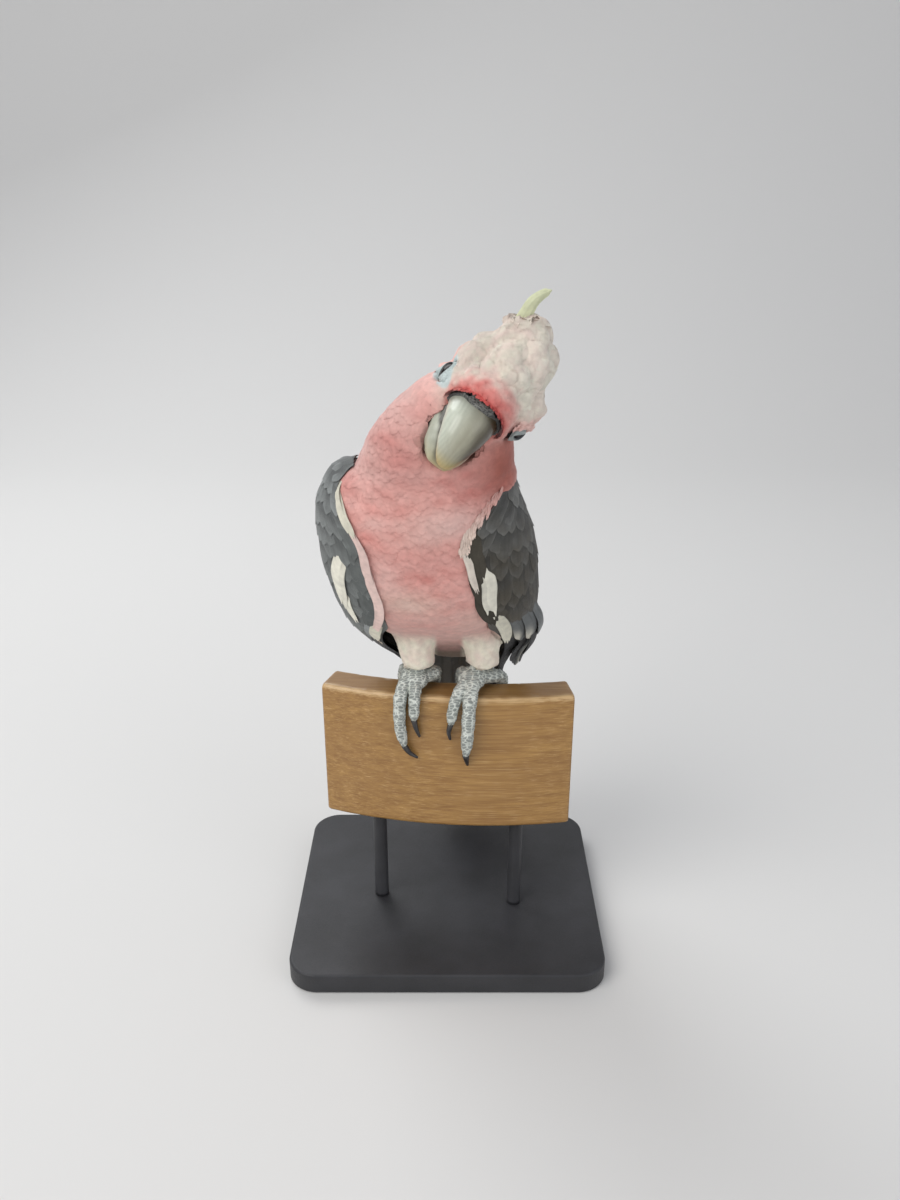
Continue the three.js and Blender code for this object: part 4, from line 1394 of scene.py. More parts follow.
def tail_batch():
    slope = math.radians(TAIL["slope"])
    way = unit([0.055, math.cos(slope), -math.sin(slope)])
    over = np.array([0, math.sin(slope), math.cos(slope)])
    across = np.cross(way, over)
    order = np.arange(-TAIL["pairs"], TAIL["pairs"]) + 0.5
    spread = order / (TAIL["pairs"] - 0.5)
    root = np.array(TAIL["root"])[None] + across * (spread * 9)[:, None]
    root = root + over * (1.5 - 4 * np.abs(spread))[:, None]
    length = TAIL["length"] * (0.985 - 0.05 * np.abs(spread) ** 2)
    widths = np.full(len(order), 16.0)
    places, normals = [], []
    for row in range(CONTROL_ROWS):
        t = row / (CONTROL_ROWS - 1)
        middle = root + way * (length * t)[:, None] + across * (spread * 7.5 * t)[:, None]
        middle = middle - over * (2.2 * t * np.abs(spread))[:, None]
        half = (widths / 2 * mix(0.75, 1, t))[:, None]
        tilt = over * (1.2 * spread)[:, None]
        places.append(np.stack([middle - across * half + tilt, middle, middle + across * half - tilt], 1))
        normals.append(np.broadcast_to(over, places[-1].shape))
    shape = close_vane(18, 8, 0.85, 0.75, 0.3, 0.4)
    batch = Batch(shape, np.stack(places, 1), np.stack(normals, 1), length, widths)
    batch.lifted(0, 0, 1, 0.6)
    tone = rng.normal(1, 0.05, (batch.count, 1, 1))
    colours = mix(GREY * 1.25, DARK_GREY, smooth(0.55, 0.95, batch.u)[None, :, None])
    colours = colours * tone * shafted(batch.v, 0.3, 0.08)[None, :, None]
    return batch.painted(colours * (1 + 0.12 * batch.mottle(9, 31)[..., None]))


def unwrap_tail(points):
    return np.stack([(points[:, 0] + 40) / 100, (points[:, 2] + 130) / 160], -1)


plumage("tail_feathers", [tail_batch()], FLIGHT_FEATHER, "dark_feathers", unwrap_tail, "tail")


# ---- Lofted solids ----
def loft(name, rings, closed_ends=True):
    """A skinned solid through rings of points [ring, point, xyz]."""
    count, sides = rings.shape[:2]
    vertices = list(rings.reshape(-1, 3))
    faces = []
    for i in range(count - 1):
        a, b = i * sides, (i + 1) * sides
        for j in range(sides):
            k = (j + 1) % sides
            faces.append((a + j, a + k, b + k, b + j))
    if closed_ends:
        for ring, start, turned in ((rings[0], 0, True), (rings[-1], (count - 1) * sides, False)):
            vertices.append(ring.mean(0))
            tip = len(vertices) - 1
            for j in range(sides):
                k = (j + 1) % sides
                faces.append((start + k, start + j, tip) if turned else (start + j, start + k, tip))
    return new_object(name, np.array(vertices), faces)


def painted_material(name, rough, bump_scale, bump_depth, tone, coat=0.0, stretch=None, strength=0.4):
    """A surface painted with the Coat attribute, with fine grain in its tone, gloss and relief."""
    make = Nodes(name)
    place = make.place()
    grain = make.noise(place, bump_scale, 5, 0.6, stretch)
    broad = make.noise(place, bump_scale / 6, 3, 0.5, stretch)
    both = make.sum(grain, 0.6, broad, 0.4)
    make.set(Base_Color=make.coat(make.range(both, 0.3, 0.7, *tone)))
    make.set(Roughness=make.range(both, 0.3, 0.7, rough * 0.85, min(1.0, rough * 1.2)))
    make.set(Normal=make.bump(grain, strength, bump_depth))
    if coat:
        make.set(Coat_Weight=coat, Coat_Roughness=0.12)
    return make.material


# ---- Bill ----
# Sections swept about one centre: angle, outer and inner radius, half width and lean to the left.
BILL_CENTRE = np.array([6, 0, -8])
BILL_SECTIONS = np.array([
    (-37, 21.0, 19.2, 1.8, 2.1), (-33, 21.7, 18, 3.3, 1.9), (-26, 22, 15.4, 5, 1.5),
    (-12, 22, 10.6, 7.1, 0.8), (6, 21.4, 6, 8.8, 0.5), (28, 19.8, 3.4, 9.9, 0.2),
    (51, 17.2, 2.6, 10.5, 0), (74, 16.2, 2, 10.8, 0),
])


def bill_ring(angle, turns, proud=0.0):
    """Points round one section of the upper bill, in head units."""
    outer, inner, half, lean = (
        np.interp(angle, BILL_SECTIONS[:, 0], BILL_SECTIONS[:, i]) for i in range(1, 5)
    )
    waist = inner + (outer - inner) * 0.3
    over, up = np.cos(turns), np.sin(turns)
    reach = np.where(up > 0, outer + proud - waist, waist - inner)
    r = waist + reach * squared(up, np.where(up > 0, 1, 0.7))
    y = lean + (half + proud) * squared(over, 0.85)
    t = np.radians(angle)
    return np.stack([BILL_CENTRE[0] + r * np.cos(t), y, BILL_CENTRE[2] + r * np.sin(t)], -1)


def bill_point(angle, turn, proud=0.0):
    return bill_ring(angle, np.array([turn]), proud)[0]


HORN = linear("#a3a08c")
# A painted highlight and a painted olive shade for the bills' horn
HORN_HIGHLIGHT = linear("#cbd1c1")
HORN_SHADE = linear("#392c13")
TIP_HORN = linear("#bba868")
CERE = linear("#8d8c86")
DARK_CERE = linear("#3f3f3e")
BILL_SIDES = 72


def upper_bill():
    angles = np.concatenate([np.linspace(66, -30, 80), np.linspace(-31, -37, 12)])
    turns = np.linspace(0, 2 * math.pi, BILL_SIDES, endpoint=False)
    rings = np.array([bill_ring(angle, turns) for angle in angles])
    # Soft lengthwise ridges and faint growth lines.
    lines = 0.03 * np.sin(turns * 23 + 1) + 0.03 * np.sin(turns * 9)
    growth = 0.01 * np.sin(angles * 0.9) + 0.008 * np.sin(angles * 2.3 + 1)
    away = unit(rings - rings.mean(1, keepdims=True))
    relief = (lines[None, :] + growth[:, None]) * smooth(-37, -25, angles)[:, None]
    rings = rings + away * relief[..., None]
    piece = loft("bill_top", from_head(rings))
    softened(piece, 3)
    paint(piece, top_colour(places_of(piece)))
    return piece


def top_colour(places):
    """The upper bill's colours: a painted highlight on the bird's right, painted olive shade on its left and
    painted shade towards its base, with a light brown tip.
    """
    h = in_head(places)
    across = (h[:, 1] - 0.5) / 9
    bearing = np.degrees(np.arctan2(h[:, 2] - BILL_CENTRE[2], h[:, 0] - BILL_CENTRE[0]))
    colours = blended(tint(HORN, h), HORN_HIGHLIGHT, (1 - smooth(-0.9, 0.2, across)) * 0.8)
    colours = colours * (1 - 0.3 * smooth(30, 52, bearing))[:, None]
    colours = blended(colours, HORN_SHADE, smooth(0.15, 0.85, across + 0.1 * waves(h, 8, 52)) * 0.95)
    colours = blended(colours, TIP_HORN, 0.9 * (1 - smooth(-33, -8, bearing)))
    streaks = np.sin(across * 40 + 2 * waves(h, 9, 51)) * 0.06
    colours = colours * (1 + streaks)[:, None]
    reach = np.hypot(h[:, 2] - BILL_CENTRE[2], h[:, 0] - BILL_CENTRE[0])
    inner = np.interp(bearing, BILL_SECTIONS[:, 0], BILL_SECTIONS[:, 2])
    edge = 1 - smooth(0.2, 2.0, reach - inner)
    # Painted shadow: dark lines run along its edge and where the lower bill meets it.
    line = (1 - smooth(0.3, 1.3, distances(MANDIBLE, places))) * (1 - 0.7 * smooth(-12, -30, bearing))
    return blended(colours, BILL_SHADOW, np.maximum(0.8 * edge, 0.9 * line))


def squared(values, power):
    """Values from -1 to 1, drawn outward to make a circle squarer."""
    return np.sign(values) * np.abs(values) ** power


# Sections of the lower bill, from its base to its tip: middle, half width and half depth.
LOWER_SECTIONS = np.array([
    (3, -1.4, -9.5, 11.2, 10.0), (8, -1.2, -15.2, 10.8, 8.4), (12.5, -0.4, -19.6, 8.9, 5.6),
    (15.6, 0.2, -22.6, 6.2, 3.0), (17.2, 0.6, -24.2, 3.8, 1.2),
])
LOWER_PITCH = math.radians(42)


def lower_bill(upper):
    """The lower bill, and the upper one's tree says where that lies over it."""
    turns = np.linspace(0, 2 * math.pi, BILL_SIDES, endpoint=False)
    over, up = squared(np.cos(turns), 0.75), squared(np.sin(turns), 0.75)
    deep_way = np.array([math.sin(LOWER_PITCH), 0, math.cos(LOWER_PITCH)])
    count = len(LOWER_SECTIONS)
    rings = []
    for place in np.linspace(0, count - 1, 60):
        *middle, half, deep = (np.interp(place, range(count), column) for column in LOWER_SECTIONS.T)
        ridge = 1 + 0.012 * np.sin(turns * 19) + 0.01 * math.sin(place * 9)
        across = np.array([0, 1, 0]) * (half * over * ridge)[:, None]
        rings.append(np.array(middle) + across + deep_way * (deep * up * ridge)[:, None])
    piece = loft("bill_bottom", from_head(np.array(rings)))
    softened(piece, 6)
    places = places_of(piece)
    h = in_head(places)
    far = 1 - smooth(-24, -16, h[:, 2])
    colours = blended(tint(HORN * 0.95, h), TIP_HORN, 0.6 * far)
    # Painted highlight: paler on the bird's right.
    colours = blended(colours, HORN_HIGHLIGHT, 0.5 * (1 - smooth(-8, 2, h[:, 1])))
    colours = colours * (1 + 0.05 * waves(h, 4, 53))[:, None]
    # Painted shadow: a dark line where the upper bill closes over it.
    line = 4.6 + 0.13 * (-10 - h[:, 2])
    dark = (1 - smooth(-0.9, 0.3, distances(upper, places) - line)) * smooth(-27, -17, h[:, 2])
    paint(piece, blended(colours, BILL_SHADOW, 0.92 * dark))
    return piece


def shell_faces(count, sides):
    """Faces of a shell between two grids of points, all of the outer grid's points before the inner's."""
    faces = []
    shift = count * sides
    for i in range(count - 1):
        for j in range(sides - 1):
            a, b = i * sides + j, (i + 1) * sides + j
            faces.append((a, b, b + 1, a + 1))
            faces.append((a + shift, a + 1 + shift, b + 1 + shift, b + shift))
        for j, turned in ((0, False), (sides - 1, True)):
            a, b = i * sides + j, (i + 1) * sides + j
            face = (a, b, b + shift, a + shift)
            faces.append(face if turned else face[::-1])
    for i, turned in ((0, True), (count - 1, False)):
        for j in range(sides - 1):
            a = i * sides + j
            face = (a, a + 1, a + 1 + shift, a + shift)
            faces.append(face if turned else face[::-1])
    return faces


def cere():
    """Rough dark skin across the bill's base, lower at its sides, with a nostril in a lump on each side."""
    turns = np.linspace(math.radians(-60), math.radians(240), 170)
    rows = np.linspace(0, 1, 34)
    low = 47 + 14 * np.abs(np.cos(turns)) ** 1.5 + 2 * np.cos(turns) + 0.8 * np.sin(turns * 9)
    outer, inner = [], []
    for row in rows:
        angles = mix(71.0, low, row)
        body = smooth(0, 0.2, row) * (1 - smooth(0.86, 1, row))
        outer.append([bill_point(angle, turn, 0.12 + 0.75 * body) for angle, turn in zip(angles, turns)])
        inner.append([bill_point(angle, turn, -0.5) for angle, turn in zip(angles, turns)])
    outer, inner = np.array(outer), np.array(inner)
    away = unit(outer - inner)
    flat = outer.reshape(-1, 3)
    lumps, _, _ = cells(flat / 2.1, 61)
    fine_lumps, fine_gap, _ = cells(flat / 0.9, 62)
    rise = 0.4 * (0.6 - lumps) + 0.16 * (0.6 - fine_lumps)
    hole = np.zeros(len(flat))
    for side in (-1, 1):
        nostril = from_nostril(flat, side)
        rise = rise + 1.0 * (1 - smooth(1.6, 3.6, nostril)) - 1.7 * (1 - smooth(0.5, 1.35, nostril))
        hole = np.maximum(hole, 1 - smooth(0.7, 1.4, nostril))
    edges = np.minimum(np.minimum(rows, 1 - rows)[:, None] * 9, 1) * np.ones(len(turns))[None]
    outer = outer + away * (rise.reshape(outer.shape[:2]) * edges)[..., None]
    vertices = np.concatenate([outer.reshape(-1, 3), inner.reshape(-1, 3)])
    piece = new_object("cere_skin", from_head(vertices), shell_faces(*outer.shape[:2]))
    top = 1 - smooth(2, 9, np.abs(flat[:, 1] + 1.5))
    # Painted shade: the cracks between the fine lumps are painted dark.
    mottle = np.clip(0.15 + 0.6 * top + 0.35 * waves(flat, 5, 63) - 0.8 * (fine_gap < 0.12), 0, 1)
    colours = blended(tint(DARK_CERE, flat), CERE, mottle)
    # Painted shade: the nostril openings are painted black.
    colours = blended(colours, BLACK, hole)
    paint(piece, np.concatenate([colours, colours]))
    return piece


def from_nostril(points, side):
    """Head units from each point to the middle of a nostril."""
    middle = bill_point(58, math.radians(90 - side * 27), 0.6)
    return np.linalg.norm(points - middle, axis=1)


horn = painted_material("bill_horn", 0.36, 900, 0.00012, (0.93, 1.05), 0.25, (1, 1, 0.3), 0.25)
leather = painted_material("rough_skin", 0.72, 2200, 0.0002, (0.8, 1.15))
top = finish_piece(recalculated(upper_bill()), horn, "bill_horn", "bill_upper")
bottom = lower_bill(Surface(top.data).tree)
finish_piece(recalculated(bottom), horn, "bill_horn", "bill_lower")
finish_piece(recalculated(cere()), leather, "cere_skin", "cere")


def cere_fringe():
    """Fine blush feathers that lie forward over the cere's upper edge."""
    count = 260
    turns = np.radians(rng.uniform(-35, 215, count))
    start_at, end_at = rng.uniform(66, 73, count), rng.uniform(54, 60, count)
    places, normals = [], []
    for t in ROW_AT[0]:
        row, out = [], []
        for turn, first, last in zip(turns, start_at, end_at):
            angle, stand = mix(first, last, t), mix(1.0, 2.4, t ** 0.7)
            row.append([bill_point(angle, turn + step, stand) for step in (-0.055, 0, 0.055)])
            out.append(row[-1][1] - bill_point(angle, turn))
        places.append(from_head(np.array(row)))
        normals.append(np.broadcast_to((unit(np.array(out)) @ HEAD_AXES.T)[:, None, :], places[-1].shape))
    lengths = np.linalg.norm(places[0][:, 1] - places[-1][:, 1], axis=1)
    widths = np.linalg.norm(places[0][:, 0] - places[0][:, 2], axis=1)
    batch = Batch(fine, np.stack(places, 1), np.stack(normals, 1), lengths, widths, 0.1)
    batch.lifted(0.0, rng.uniform(0.0, 0.5, count), 1.0, 0.2)
    return batch.marked(lambda points: mix(head_colour(points), BLUSH, 0.6), 0.06)


plumage("coat_cere", [cere_fringe()], PALE_FEATHER, "pale_feathers", unwrap_head)


# ---- Eyes and lids ----
EYE_RADIUS = 5.4 * HEAD["size"]
PUPIL = linear("#080707")
IRIS = linear("#1d130f")
LID_RIM = linear("#3c3f42")
EYE_AXES = {
    "left": unit(HEAD_AXES @ np.array([0.1, 1, 0.1])), "right": unit(HEAD_AXES @ np.array([0.2, -1, 0.16])),
}


def eye_ball(name):
    """A dark eyeball; its iris is a shade browner than its pupil."""
    axis = EYE_AXES[name]
    aside = unit(np.cross(axis, HEAD_AXES[:, 2]))
    up = np.cross(aside, axis)
    tilt = np.linspace(0, math.pi, 40)[1:-1]
    turns = np.linspace(0, 2 * math.pi, 48, endpoint=False)
    rings = np.array([
        EYES[name] + EYE_RADIUS * (
            axis * math.cos(t) + (aside * np.cos(turns)[:, None] + up * np.sin(turns)[:, None]) * math.sin(t)
        ) for t in tilt
    ])
    piece = recalculated(loft(f"eyeball_{name}", rings))
    places = places_of(piece)
    bearing = np.degrees(np.arccos(np.clip(unit(places - EYES[name]) @ axis, -1, 1)))
    iris = smooth(17, 19, bearing) * (1 - smooth(36, 40, bearing))
    colours = blended(tint(PUPIL, places), IRIS, iris)
    paint(piece, colours * (1 + 0.3 * np.sin(bearing * 7) * iris)[:, None])
    return piece


def skin_heights(name, spots):
    """How far out along the eye's axis the skin lies at each spot off it, or 0 where there is none."""
    axis = EYE_AXES[name]
    heights = np.zeros(len(spots))
    for i, spot in enumerate(spots):
        hit = surface.tree.ray_cast(Vector(EYES[name] + spot + axis * 12), Vector(-axis), 30)[0]
        if hit is not None:
            heights[i] = (np.array(hit) - EYES[name]) @ axis
    return heights


def eye_lids(name, opening, middle, reach):
    """A ring of bare wrinkled skin from the eye's opening, round that middle, out to the feathers."""
    axis = EYE_AXES[name]
    forward = unit(HEAD_AXES[:, 0] - axis * (HEAD_AXES[:, 0] @ axis))
    up = np.cross(axis, forward) * (1 if np.cross(axis, forward) @ HEAD_AXES[:, 2] > 0 else -1)
    turns = np.linspace(0, 2 * math.pi, 96, endpoint=False)
    rows = np.concatenate([[-0.06, -0.03], np.linspace(0, 1, 26)])
    rings, shades = [], []
    for row in rows:
        ahead = mix(middle[0] + opening[0] * np.cos(turns), reach * np.cos(turns), row)
        above = mix(middle[1] + opening[1] * np.sin(turns), reach * np.sin(turns), row)
        radius = np.hypot(ahead, above)
        flat = forward * ahead[:, None] + up * above[:, None]
        ball = np.sqrt(np.maximum((EYE_RADIUS + 0.25) ** 2 - radius ** 2, 0))
        rim = 0.4 * math.exp(-((row - 0.05) / 0.1) ** 2)
        wrinkle = 0.1 * np.sin(row * 42 + 0.8 * np.sin(turns * 5)) + 0.07 * np.sin(turns * 31)
        over_skin = skin_heights(name, flat) + 0.35 - 0.5 * smooth(0.8, 1.0, row)
        height = np.maximum(ball, np.minimum(over_skin, ball + 6 * row))
        height = height + rim + wrinkle * smooth(0.0, 0.2, row) if row >= 0 else ball - 0.4 + row * 6
        rings.append(EYES[name] + flat + axis * height[:, None])
        shades.append(np.full(len(turns), row))
    piece = loft(f"lids_{name}", np.array(rings), closed_ends=False)
    shades = np.concatenate(shades)
    places = places_of(piece)
    # Painted light and shade: the bare skin is painted darker round the left eye and lighter round the right.
    bare = BARE_SKIN * (0.75 if name == "left" else 1.15)
    colours = blended(tint(LID_RIM, places), bare, smooth(-0.01, 0.1, shades))
    _, gap, _ = cells(places / 0.8, 71)
    paint(piece, colours * (1 - 0.18 * (gap < 0.12) + 0.06 * waves(places, 3, 72))[:, None])
    thick = piece.modifiers.new("thick", "SOLIDIFY")
    thick.thickness = 0.4 * MM
    thick.offset = -1
    return applied(recalculated(piece))


def eye_material():
    make = Nodes("eye_gloss")
    grain = make.noise(make.place(), 2500)
    make.set(Base_Color=make.coat(make.range(grain, 0.3, 0.7, 0.8, 1.2)))
    make.set(Roughness=make.range(grain, 0.3, 0.7, 0.03, 0.06), IOR=1.22)
    return make.material


# Half the eye's opening, ahead and up, its middle from the eye's, and how far its bare ring reaches.
LIDS = {"left": ((2.8, 1.7), (2.6, -1.1), 5.8), "right": ((3.1, 4.3), (0, 0), 7.4)}
glossy = eye_material()
lid_skin = painted_material("lid_skin", 0.55, 2600, 0.00015, (0.85, 1.12))
for name in SIDES:
    finish_piece(eye_ball(name), glossy, "eye", f"eye_{name}")
    finish_piece(eye_lids(name, *LIDS[name]), lid_skin, "foot_skin")


# ---- Plume ----
PLUME_PATH = np.array([
    (-12, -6, 27), (-13.6, -6.8, 33), (-16, -7.4, 38.6), (-18, -6.2, 42.2), (-20, -4.5, 45),
])


def plume_batch():
    """The crest's long feathers, one behind the other."""
    count = 5
    share = np.linspace(-1, 1, count)
    path = from_head(PLUME_PATH)
    ways = unit(np.gradient(path, axis=0))
    broad = unit(np.cross(ways, HEAD_AXES[:, 0]))
    over = unit(np.cross(broad, ways)) * -1
    over = over * np.sign(over @ HEAD_AXES[:, 0])[:, None]
    halves = np.array([3.1, 2.75, 2.3, 1.8, 1.3]) * HEAD["size"]
    places, normals = [], []
    length = np.linalg.norm(np.diff(path, axis=0), axis=1).sum()
    for row in range(CONTROL_ROWS):
        t = row / (CONTROL_ROWS - 1)
        middle = path[row] + over[row] * (share * 0.9)[:, None]
        middle = middle + broad[row] * (0.5 * np.sin(share * 5) * (1 - 0.6 * t))[:, None]
        middle = middle - ways[row] * (2.6 * np.abs(share) * t)[:, None]
        half = halves[row] * (1 - 0.12 * np.abs(share))[:, None]
        cup = over[row] * 0.5
        aside = broad[row] * half
        places.append(np.stack([middle - aside - cup, middle, middle + aside - cup], 1))
        normals.append(np.broadcast_to(over[row], places[-1].shape))
    shape = close_vane(24, 10, 0.86, 0.95, 0.3, 0.2)
    lengths, widths = np.full(count, length), np.full(count, 6.0)
    batch = Batch(shape, np.stack(places, 1), np.stack(normals, 1), lengths, widths)
    tone = shafted(batch.v, 0.08, 0.12) + 0.05 * smooth(0.6, 1, np.abs(batch.v))
    tone = tone * (0.9 + 0.14 * batch.u)
    tones = rng.normal(1, 0.03, (count, 1, 1)) * tone[None, :, None]
    return batch.painted(tones * PLUME)


plumage("plume", [plume_batch()], PLUME_FEATHER, "plume_feather", unwrap_head, "crest_plume")


# ---- Feet ----
TOE_NAMES = [f"{place}_{end}" for place in ("inner", "outer") for end in ("front", "back")]
FOOT_GREY = linear("#9da29d")
FOOT_PALE = linear("#dde1d8")
FOOT_DARK = linear("#5c605d")
CLAW_DARK = linear("#232225")
CLAW_PALE = linear("#4a4643")


def foot(name):
    sources = [f"foot_{name}"] + [f"toe_{name}_{toe}" for toe in TOE_NAMES]
    piece = remeshed(f"scaled_foot_{name}", sources, 0.36, 6)
    places = places_of(piece)
    normals = normals_of(piece.data)
    # Rows of broad scutes run across each toe, and small scales cover its sides and the foot.
    reach = -(places[:, 1] + places[:, 2])
    facing = normals[:, 2] * 0.7 - normals[:, 1] * 0.7
    broad = smooth(0.1, 0.6, facing)
    grid = np.stack([places[:, 0] / 3.2, reach / 1.7, (places[:, 1] - places[:, 2]) / 6], -1)
    _, gap, number = cells(grid, 81, 0.7)
    _, small_gap, small_number = cells(places / 1.35, 82)
    gap = mix(small_gap * 0.8, gap, broad)
    number = np.where(broad > 0.5, number, small_number)
    rise = 0.42 * smooth(0.0, 0.45, gap) - 0.12
    set_coordinates(piece.data, world(places + normals * rise[:, None]))
    rim = 1 - smooth(0.05, 0.22, np.abs(gap - 0.03))
    colours = blended(tint(FOOT_GREY, places), FOOT_DARK, 0.3 * number + 0.1)
    colours = blended(colours, FOOT_PALE, 0.9 * rim)
    paint(piece, colours * (1 + 0.08 * waves(places, 4, 83))[:, None])
    return piece


def claws(name):
    nodes_used = [f"claw_{name}_{toe}" for toe in TOE_NAMES]
    piece = remeshed(f"claws_{name}", nodes_used, 0.24, 6)
    places = places_of(piece) + 0.55 * normals_of(piece.data)
    set_coordinates(piece.data, world(places))
    streaks = waves(places * [1, 1, 0.3], 1.6, 91)
    paint(piece, blended(tint(CLAW_DARK, places), CLAW_PALE, np.clip(0.25 + 0.3 * streaks, 0, 1)))
    finish_piece(piece, claw_horn, "claw_horn", *nodes_used)


scaly = painted_material("scaly_skin", 0.62, 3000, 0.00012, (0.85, 1.12))
claw_horn = painted_material("claw_horn", 0.3, 1500, 0.0001, (0.85, 1.15), 0.3, (1, 1, 0.2))
for name in SIDES:
    toes = [f"toe_{name}_{toe}" for toe in TOE_NAMES]
    finish_piece(foot(name), scaly, "foot_skin", f"foot_{name}", *toes)
    claws(name)


# ---- Perch: a length of worn, varnished rail ----
RAIL = {"length": 130, "thickness": 18.5, "height": 80, "bend": 250, "turn": 5.4, "corner": 2.6}
WOOD = {
    "dark": "#8a6030", "pale": "#c09553", "middle": "#9a7140", "scratch": "#d8b57d", "worn_and_lit": "#d6b483",
    "top": "#6e5640",
}
WOOD = {part: linear(text) for part, text in WOOD.items()}


def rail_section():
    """Points round the rail's rounded section, about 1.3 mm apart, as depth and height."""
    r = RAIL["corner"]
    section = []
    for u, v, start in ((-0.5, 0, 90), (0.5, 0, 0), (0.5, -1, -90), (-0.5, -1, -180)):
        middle = (u * RAIL["thickness"] - np.sign(u) * r, v * RAIL["height"] + (r if v else -r))
        for t in np.radians(np.linspace(start + 90, start, 9)):
            section.append((middle[0] + r * math.cos(t), middle[1] + r * math.sin(t)))
    spaced = []
    for (u0, v0), (u1, v1) in zip(section, section[1:] + section[:1]):
        steps = max(1, int(math.hypot(u1 - u0, v1 - v0) / 1.3))
        spaced += [(mix(u0, u1, i / steps), mix(v0, v1, i / steps)) for i in range(steps)]
    return np.array(spaced)


def rail():
    turn = math.radians(RAIL["turn"])
    back = np.array([math.sin(turn), math.cos(turn), 0])
    across = np.array([math.cos(turn), -math.sin(turn), 0])
    spread = RAIL["length"] / 2 / RAIL["bend"]
    section = rail_section()
    rings = []
    arcs = np.linspace(-spread, spread, 121)
    for arc in arcs:
        inward = back * math.cos(arc) - across * math.sin(arc)
        middle = back * RAIL["bend"] - inward * RAIL["bend"]
        end = smooth(0, 0.9, (spread - abs(arc)) * RAIL["bend"])
        shrink = np.array([[RAIL["thickness"] / 2, RAIL["height"] / 2]]) * 0.012 * (1 - end)
        around = section - np.sign(section + [0, RAIL["height"] / 2]) * shrink
        rings.append(middle + inward * around[:, :1] + np.array([0, 0, 1]) * around[:, 1:])
    rings = np.array(rings)
    flat = rings.reshape(-1, 3)
    # Knocks and rubbed places along the edges; the rubbed places are painted pale, which also serves as a
    # painted highlight on those edges.
    depth, height = np.tile(section[:, 0], len(arcs)), np.tile(section[:, 1], len(arcs))
    corner = np.hypot(
        np.maximum(np.abs(depth) - RAIL["thickness"] / 2 + 4, 0), np.maximum(height + 4, 0),
    )
    knocks = np.clip(waves(flat, 5, 101) - 0.55, 0, 1) * smooth(3.4, 5, corner)
    away = unit(rings - rings.mean(1, keepdims=True)).reshape(-1, 3)
    flat = flat - away * (0.6 * knocks + 0.06 * waves(flat, 11, 102))[:, None]
    piece = recalculated(loft("worn_rail", flat.reshape(rings.shape)))
    places = places_of(piece)
    # Wear and painted highlight: the top edges are paler.
    wear_and_highlight = np.zeros(len(places))
    wear_and_highlight[:len(corner)] = smooth(3.3, 4.8, corner) * (0.95 + 0.12 * waves(places[:len(corner)], 9, 103))
    layer = piece.data.attributes.new("WearAndHighlight", "FLOAT", "POINT")
    layer.data.foreach_set("value", np.clip(wear_and_highlight, 0, 1).astype(np.float32))
    return piece


def wood_material():
    make = Nodes("worn_wood")
    place = make.place()
    grain = make.noise(place, 60, 6, 0.65, (0.35, 6, 7))
    fibres = make.noise(place, 240, 5, 0.7, (0.12, 5, 6))
    broad = make.noise(place, 22, 3, 0.5, (0.5, 2, 2.4))
    scratch = make.noise(place, 160, 2, 0.4, (0.25, 3, 9))
    figure = make.sum(grain, 0.55, fibres, 0.45)
    colour = make.mixed(make.range(figure, 0.36, 0.66, 0, 1), WOOD["dark"], WOOD["pale"])
    colour = make.mixed(make.range(broad, 0.35, 0.65, 0.0, 0.45), colour, WOOD["middle"])
    colour = make.mixed(make.range(scratch, 0.68, 0.76, 0.0, 0.4), colour, WOOD["scratch"])
    # The rubbed top edges are painted pale: wear, and a painted highlight.
    wear_and_highlight = make.attribute("WearAndHighlight").outputs["Fac"]
    worn_and_lit = make.range(make.math("ADD", wear_and_highlight, make.range(fibres, 0.3, 0.7, -0.25, 0.25)), 0.5, 0.95, 0, 0.85)
    colour = make.mixed(worn_and_lit, colour, WOOD["worn_and_lit"])
    # Painted shade: its top is darker.
    upward = make.add("SeparateXYZ", {0: make.add("NewGeometry").outputs["Normal"]}).outputs["Z"]
    colour = make.mixed(make.range(upward, 0.75, 0.97, 0, 0.4), colour, WOOD["top"])
    height = make.sum(fibres, 0.6, grain, 0.4)
    make.set(Base_Color=colour, Roughness=make.range(figure, 0.3, 0.7, 0.5, 0.32))
    make.set(Normal=make.bump(height, 0.35, 0.0003), Coat_Weight=0.25, Coat_Roughness=0.25)
    return make.material


finish_piece(rail(), wood_material(), "perch_wood", "perch_rail")


# ---- Stand ----
BASE_CORNER = 16
BASE_BEVEL = 1.5


def stand_material():
    make = Nodes("stand_paint")
    place = make.place()
    fleck = make.noise(place, 1800, 4, 0.6)
    broad = make.noise(place, 40, 3)
    colour = make.mixed(make.range(broad, 0.3, 0.7, 0, 1), linear("#29292b"), linear("#353538"))
    make.set(Base_Color=colour, Roughness=make.range(fleck, 0.3, 0.7, 0.38, 0.6))
    make.set(Normal=make.bump(fleck, 0.35, 0.00015))
    return make.material


def base_plate():
    low, high = box_of("stand_base")
    middle = (low + high) / 2
    half = (high - low)[:2] / 2
    levels = [(low[2], BASE_BEVEL * 0.6)]
    for t in np.radians(np.linspace(0, 90, 6)):
        levels.append((high[2] - BASE_BEVEL * (1 - math.sin(t)), BASE_BEVEL * (1 - math.cos(t))))
    levels.insert(1, (low[2] + BASE_BEVEL * 0.6, 0))
    rings = []
    for height, inset in levels:
        ring = []
        for sx, sy, start in ((1, -1, -90), (1, 1, 0), (-1, 1, 90), (-1, -1, 180)):
            for t in np.radians(np.linspace(start, start + 90, 14)):
                r = BASE_CORNER - inset
                x = middle[0] + sx * (half[0] - BASE_CORNER) + r * math.cos(t)
                y = middle[1] + sy * (half[1] - BASE_CORNER) + r * math.sin(t)
                ring.append((x, y, height))
        rings.append(ring)
    return recalculated(loft("base_plate", np.array(rings)))


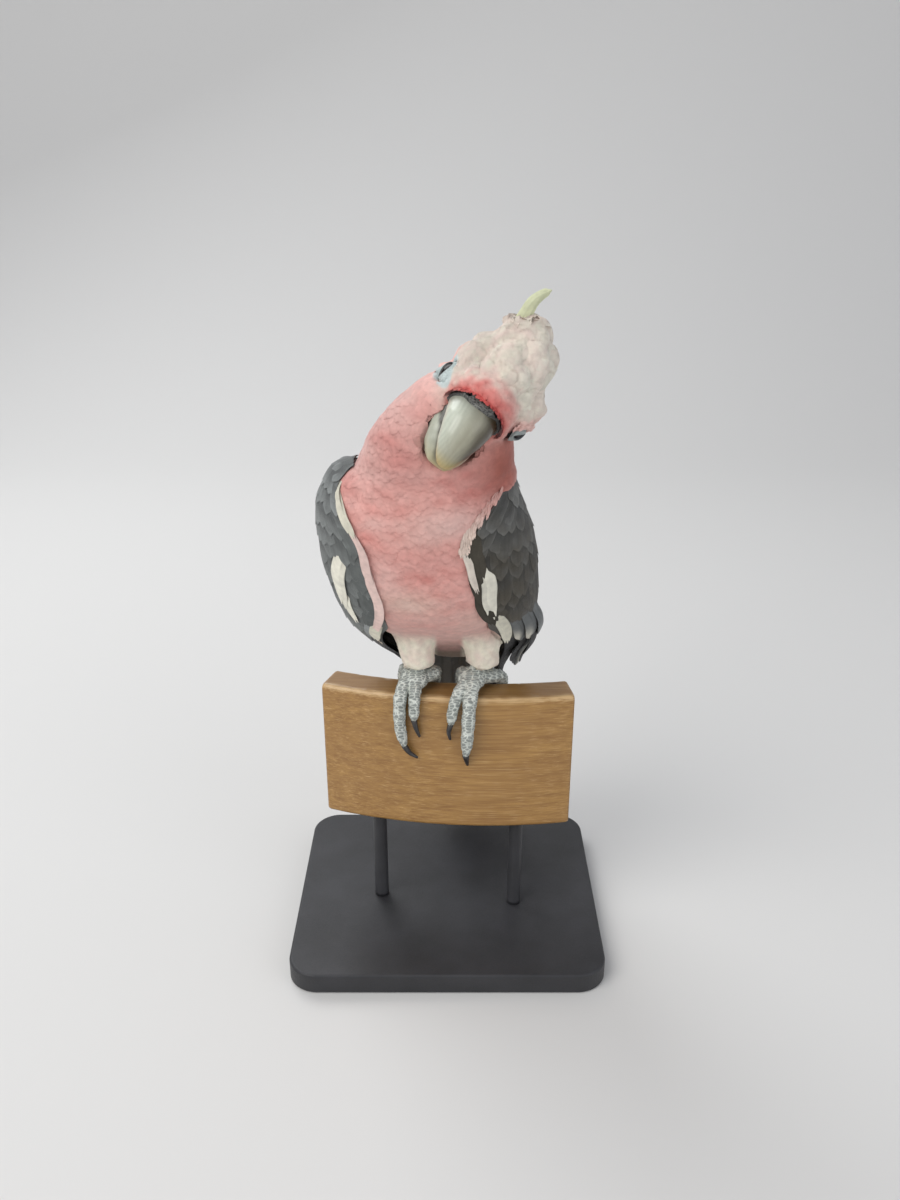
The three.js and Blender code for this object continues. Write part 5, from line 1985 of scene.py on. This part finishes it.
def rod(name):
    """A rod with a foot a little wider than the rest of it."""
    low, high = box_of(f"stand_rod_{name}")
    middle, radius = (low + high) / 2, (high - low)[0] / 2
    turns = np.linspace(0, 2 * math.pi, 40, endpoint=False)
    around = np.stack([np.cos(turns), np.sin(turns), 0 * turns], -1)
    foot, slim = 2, radius * 0.97
    levels = [(low[2], radius), (low[2] + foot, radius), (low[2] + foot + 0.2, slim)]
    levels += [(high[2] - 0.2, slim), (high[2], slim)]
    rings = [np.array([middle[0], middle[1], z]) + r * around for z, r in levels]
    return recalculated(loft(f"stand_post_{name}", np.array(rings)))


paint_finish = stand_material()
finish_piece(base_plate(), paint_finish, "stand_paint", "stand_base", smooth_shaded=False)
for name in SIDES:
    finish_piece(rod(name), paint_finish, "stand_paint", f"stand_rod_{name}")


# ---- Floor, light and camera ----
def floor_material():
    make = Nodes("studio_floor")
    make.set(Base_Color=(0.72, 0.71, 0.69), Roughness=0.9)
    return make.material


def backdrop():
    """A pale floor that curves up into a wall far behind."""
    front, bend, top, half = -2600, 900, 2600, 3200
    profile = [(front, 0), (bend, 0)]
    for t in np.radians(np.arange(6, 91, 6)):
        profile.append((bend + bend * math.sin(t), bend - bend * math.cos(t)))
    profile.append((2 * bend, top))
    points = [(x, y, z) for y, z in profile for x in (-half, half)]
    faces = [(2 * i, 2 * i + 1, 2 * i + 3, 2 * i + 2) for i in range(len(profile) - 1)]
    sheet = new_object("floor", local(np.array(points) * MM), faces)
    sheet.data.shade_smooth()
    sheet.data.materials.append(floor_material())
    return sheet


backdrop()
LIT_SPOT = (0, 0, 0.24)  # metres, near the middle of the bird


def area_light(name, place, size, power, colour):
    data = bpy.data.lights.new(name, "AREA")
    data.shape = "DISK"
    data.size = size
    data.energy = power
    data.color = colour
    lamp = linked(name, data)
    lamp.location = place
    lamp.rotation_euler = (Vector(LIT_SPOT) - Vector(place)).to_track_quat("-Z", "Y").to_euler()


area_light("key", (-1.1, -1.0, 1.5), 1.5, 21, (1, 0.985, 0.96))
area_light("fill", (1.4, -1.1, 0.8), 1.4, 5, (0.97, 0.98, 1))
area_light("rim", (-0.6, 0.8, 1.2), 0.9, 8, (0.96, 0.98, 1))

bpy.context.scene.view_settings.view_transform = "Standard"
world_light = bpy.data.worlds.new("studio")
bpy.context.scene.world = world_light
world_light.use_nodes = True
background = world_light.node_tree.nodes["Background"].inputs
background["Color"].default_value = (0.9, 0.93, 1, 1)
background["Strength"].default_value = 0.5

CAMERA_AT = (1.5, -477.2, 261.2)
CAMERA_DOWN = 23.75  # degrees below level
camera_data = bpy.data.cameras.new("camera")
camera_data.sensor_width = 36
camera_data.lens = 31.02
camera = linked("camera", camera_data)
camera.location = world(CAMERA_AT)
camera.rotation_euler = (math.radians(90 - CAMERA_DOWN), 0, 0)
bpy.context.scene.camera = camera
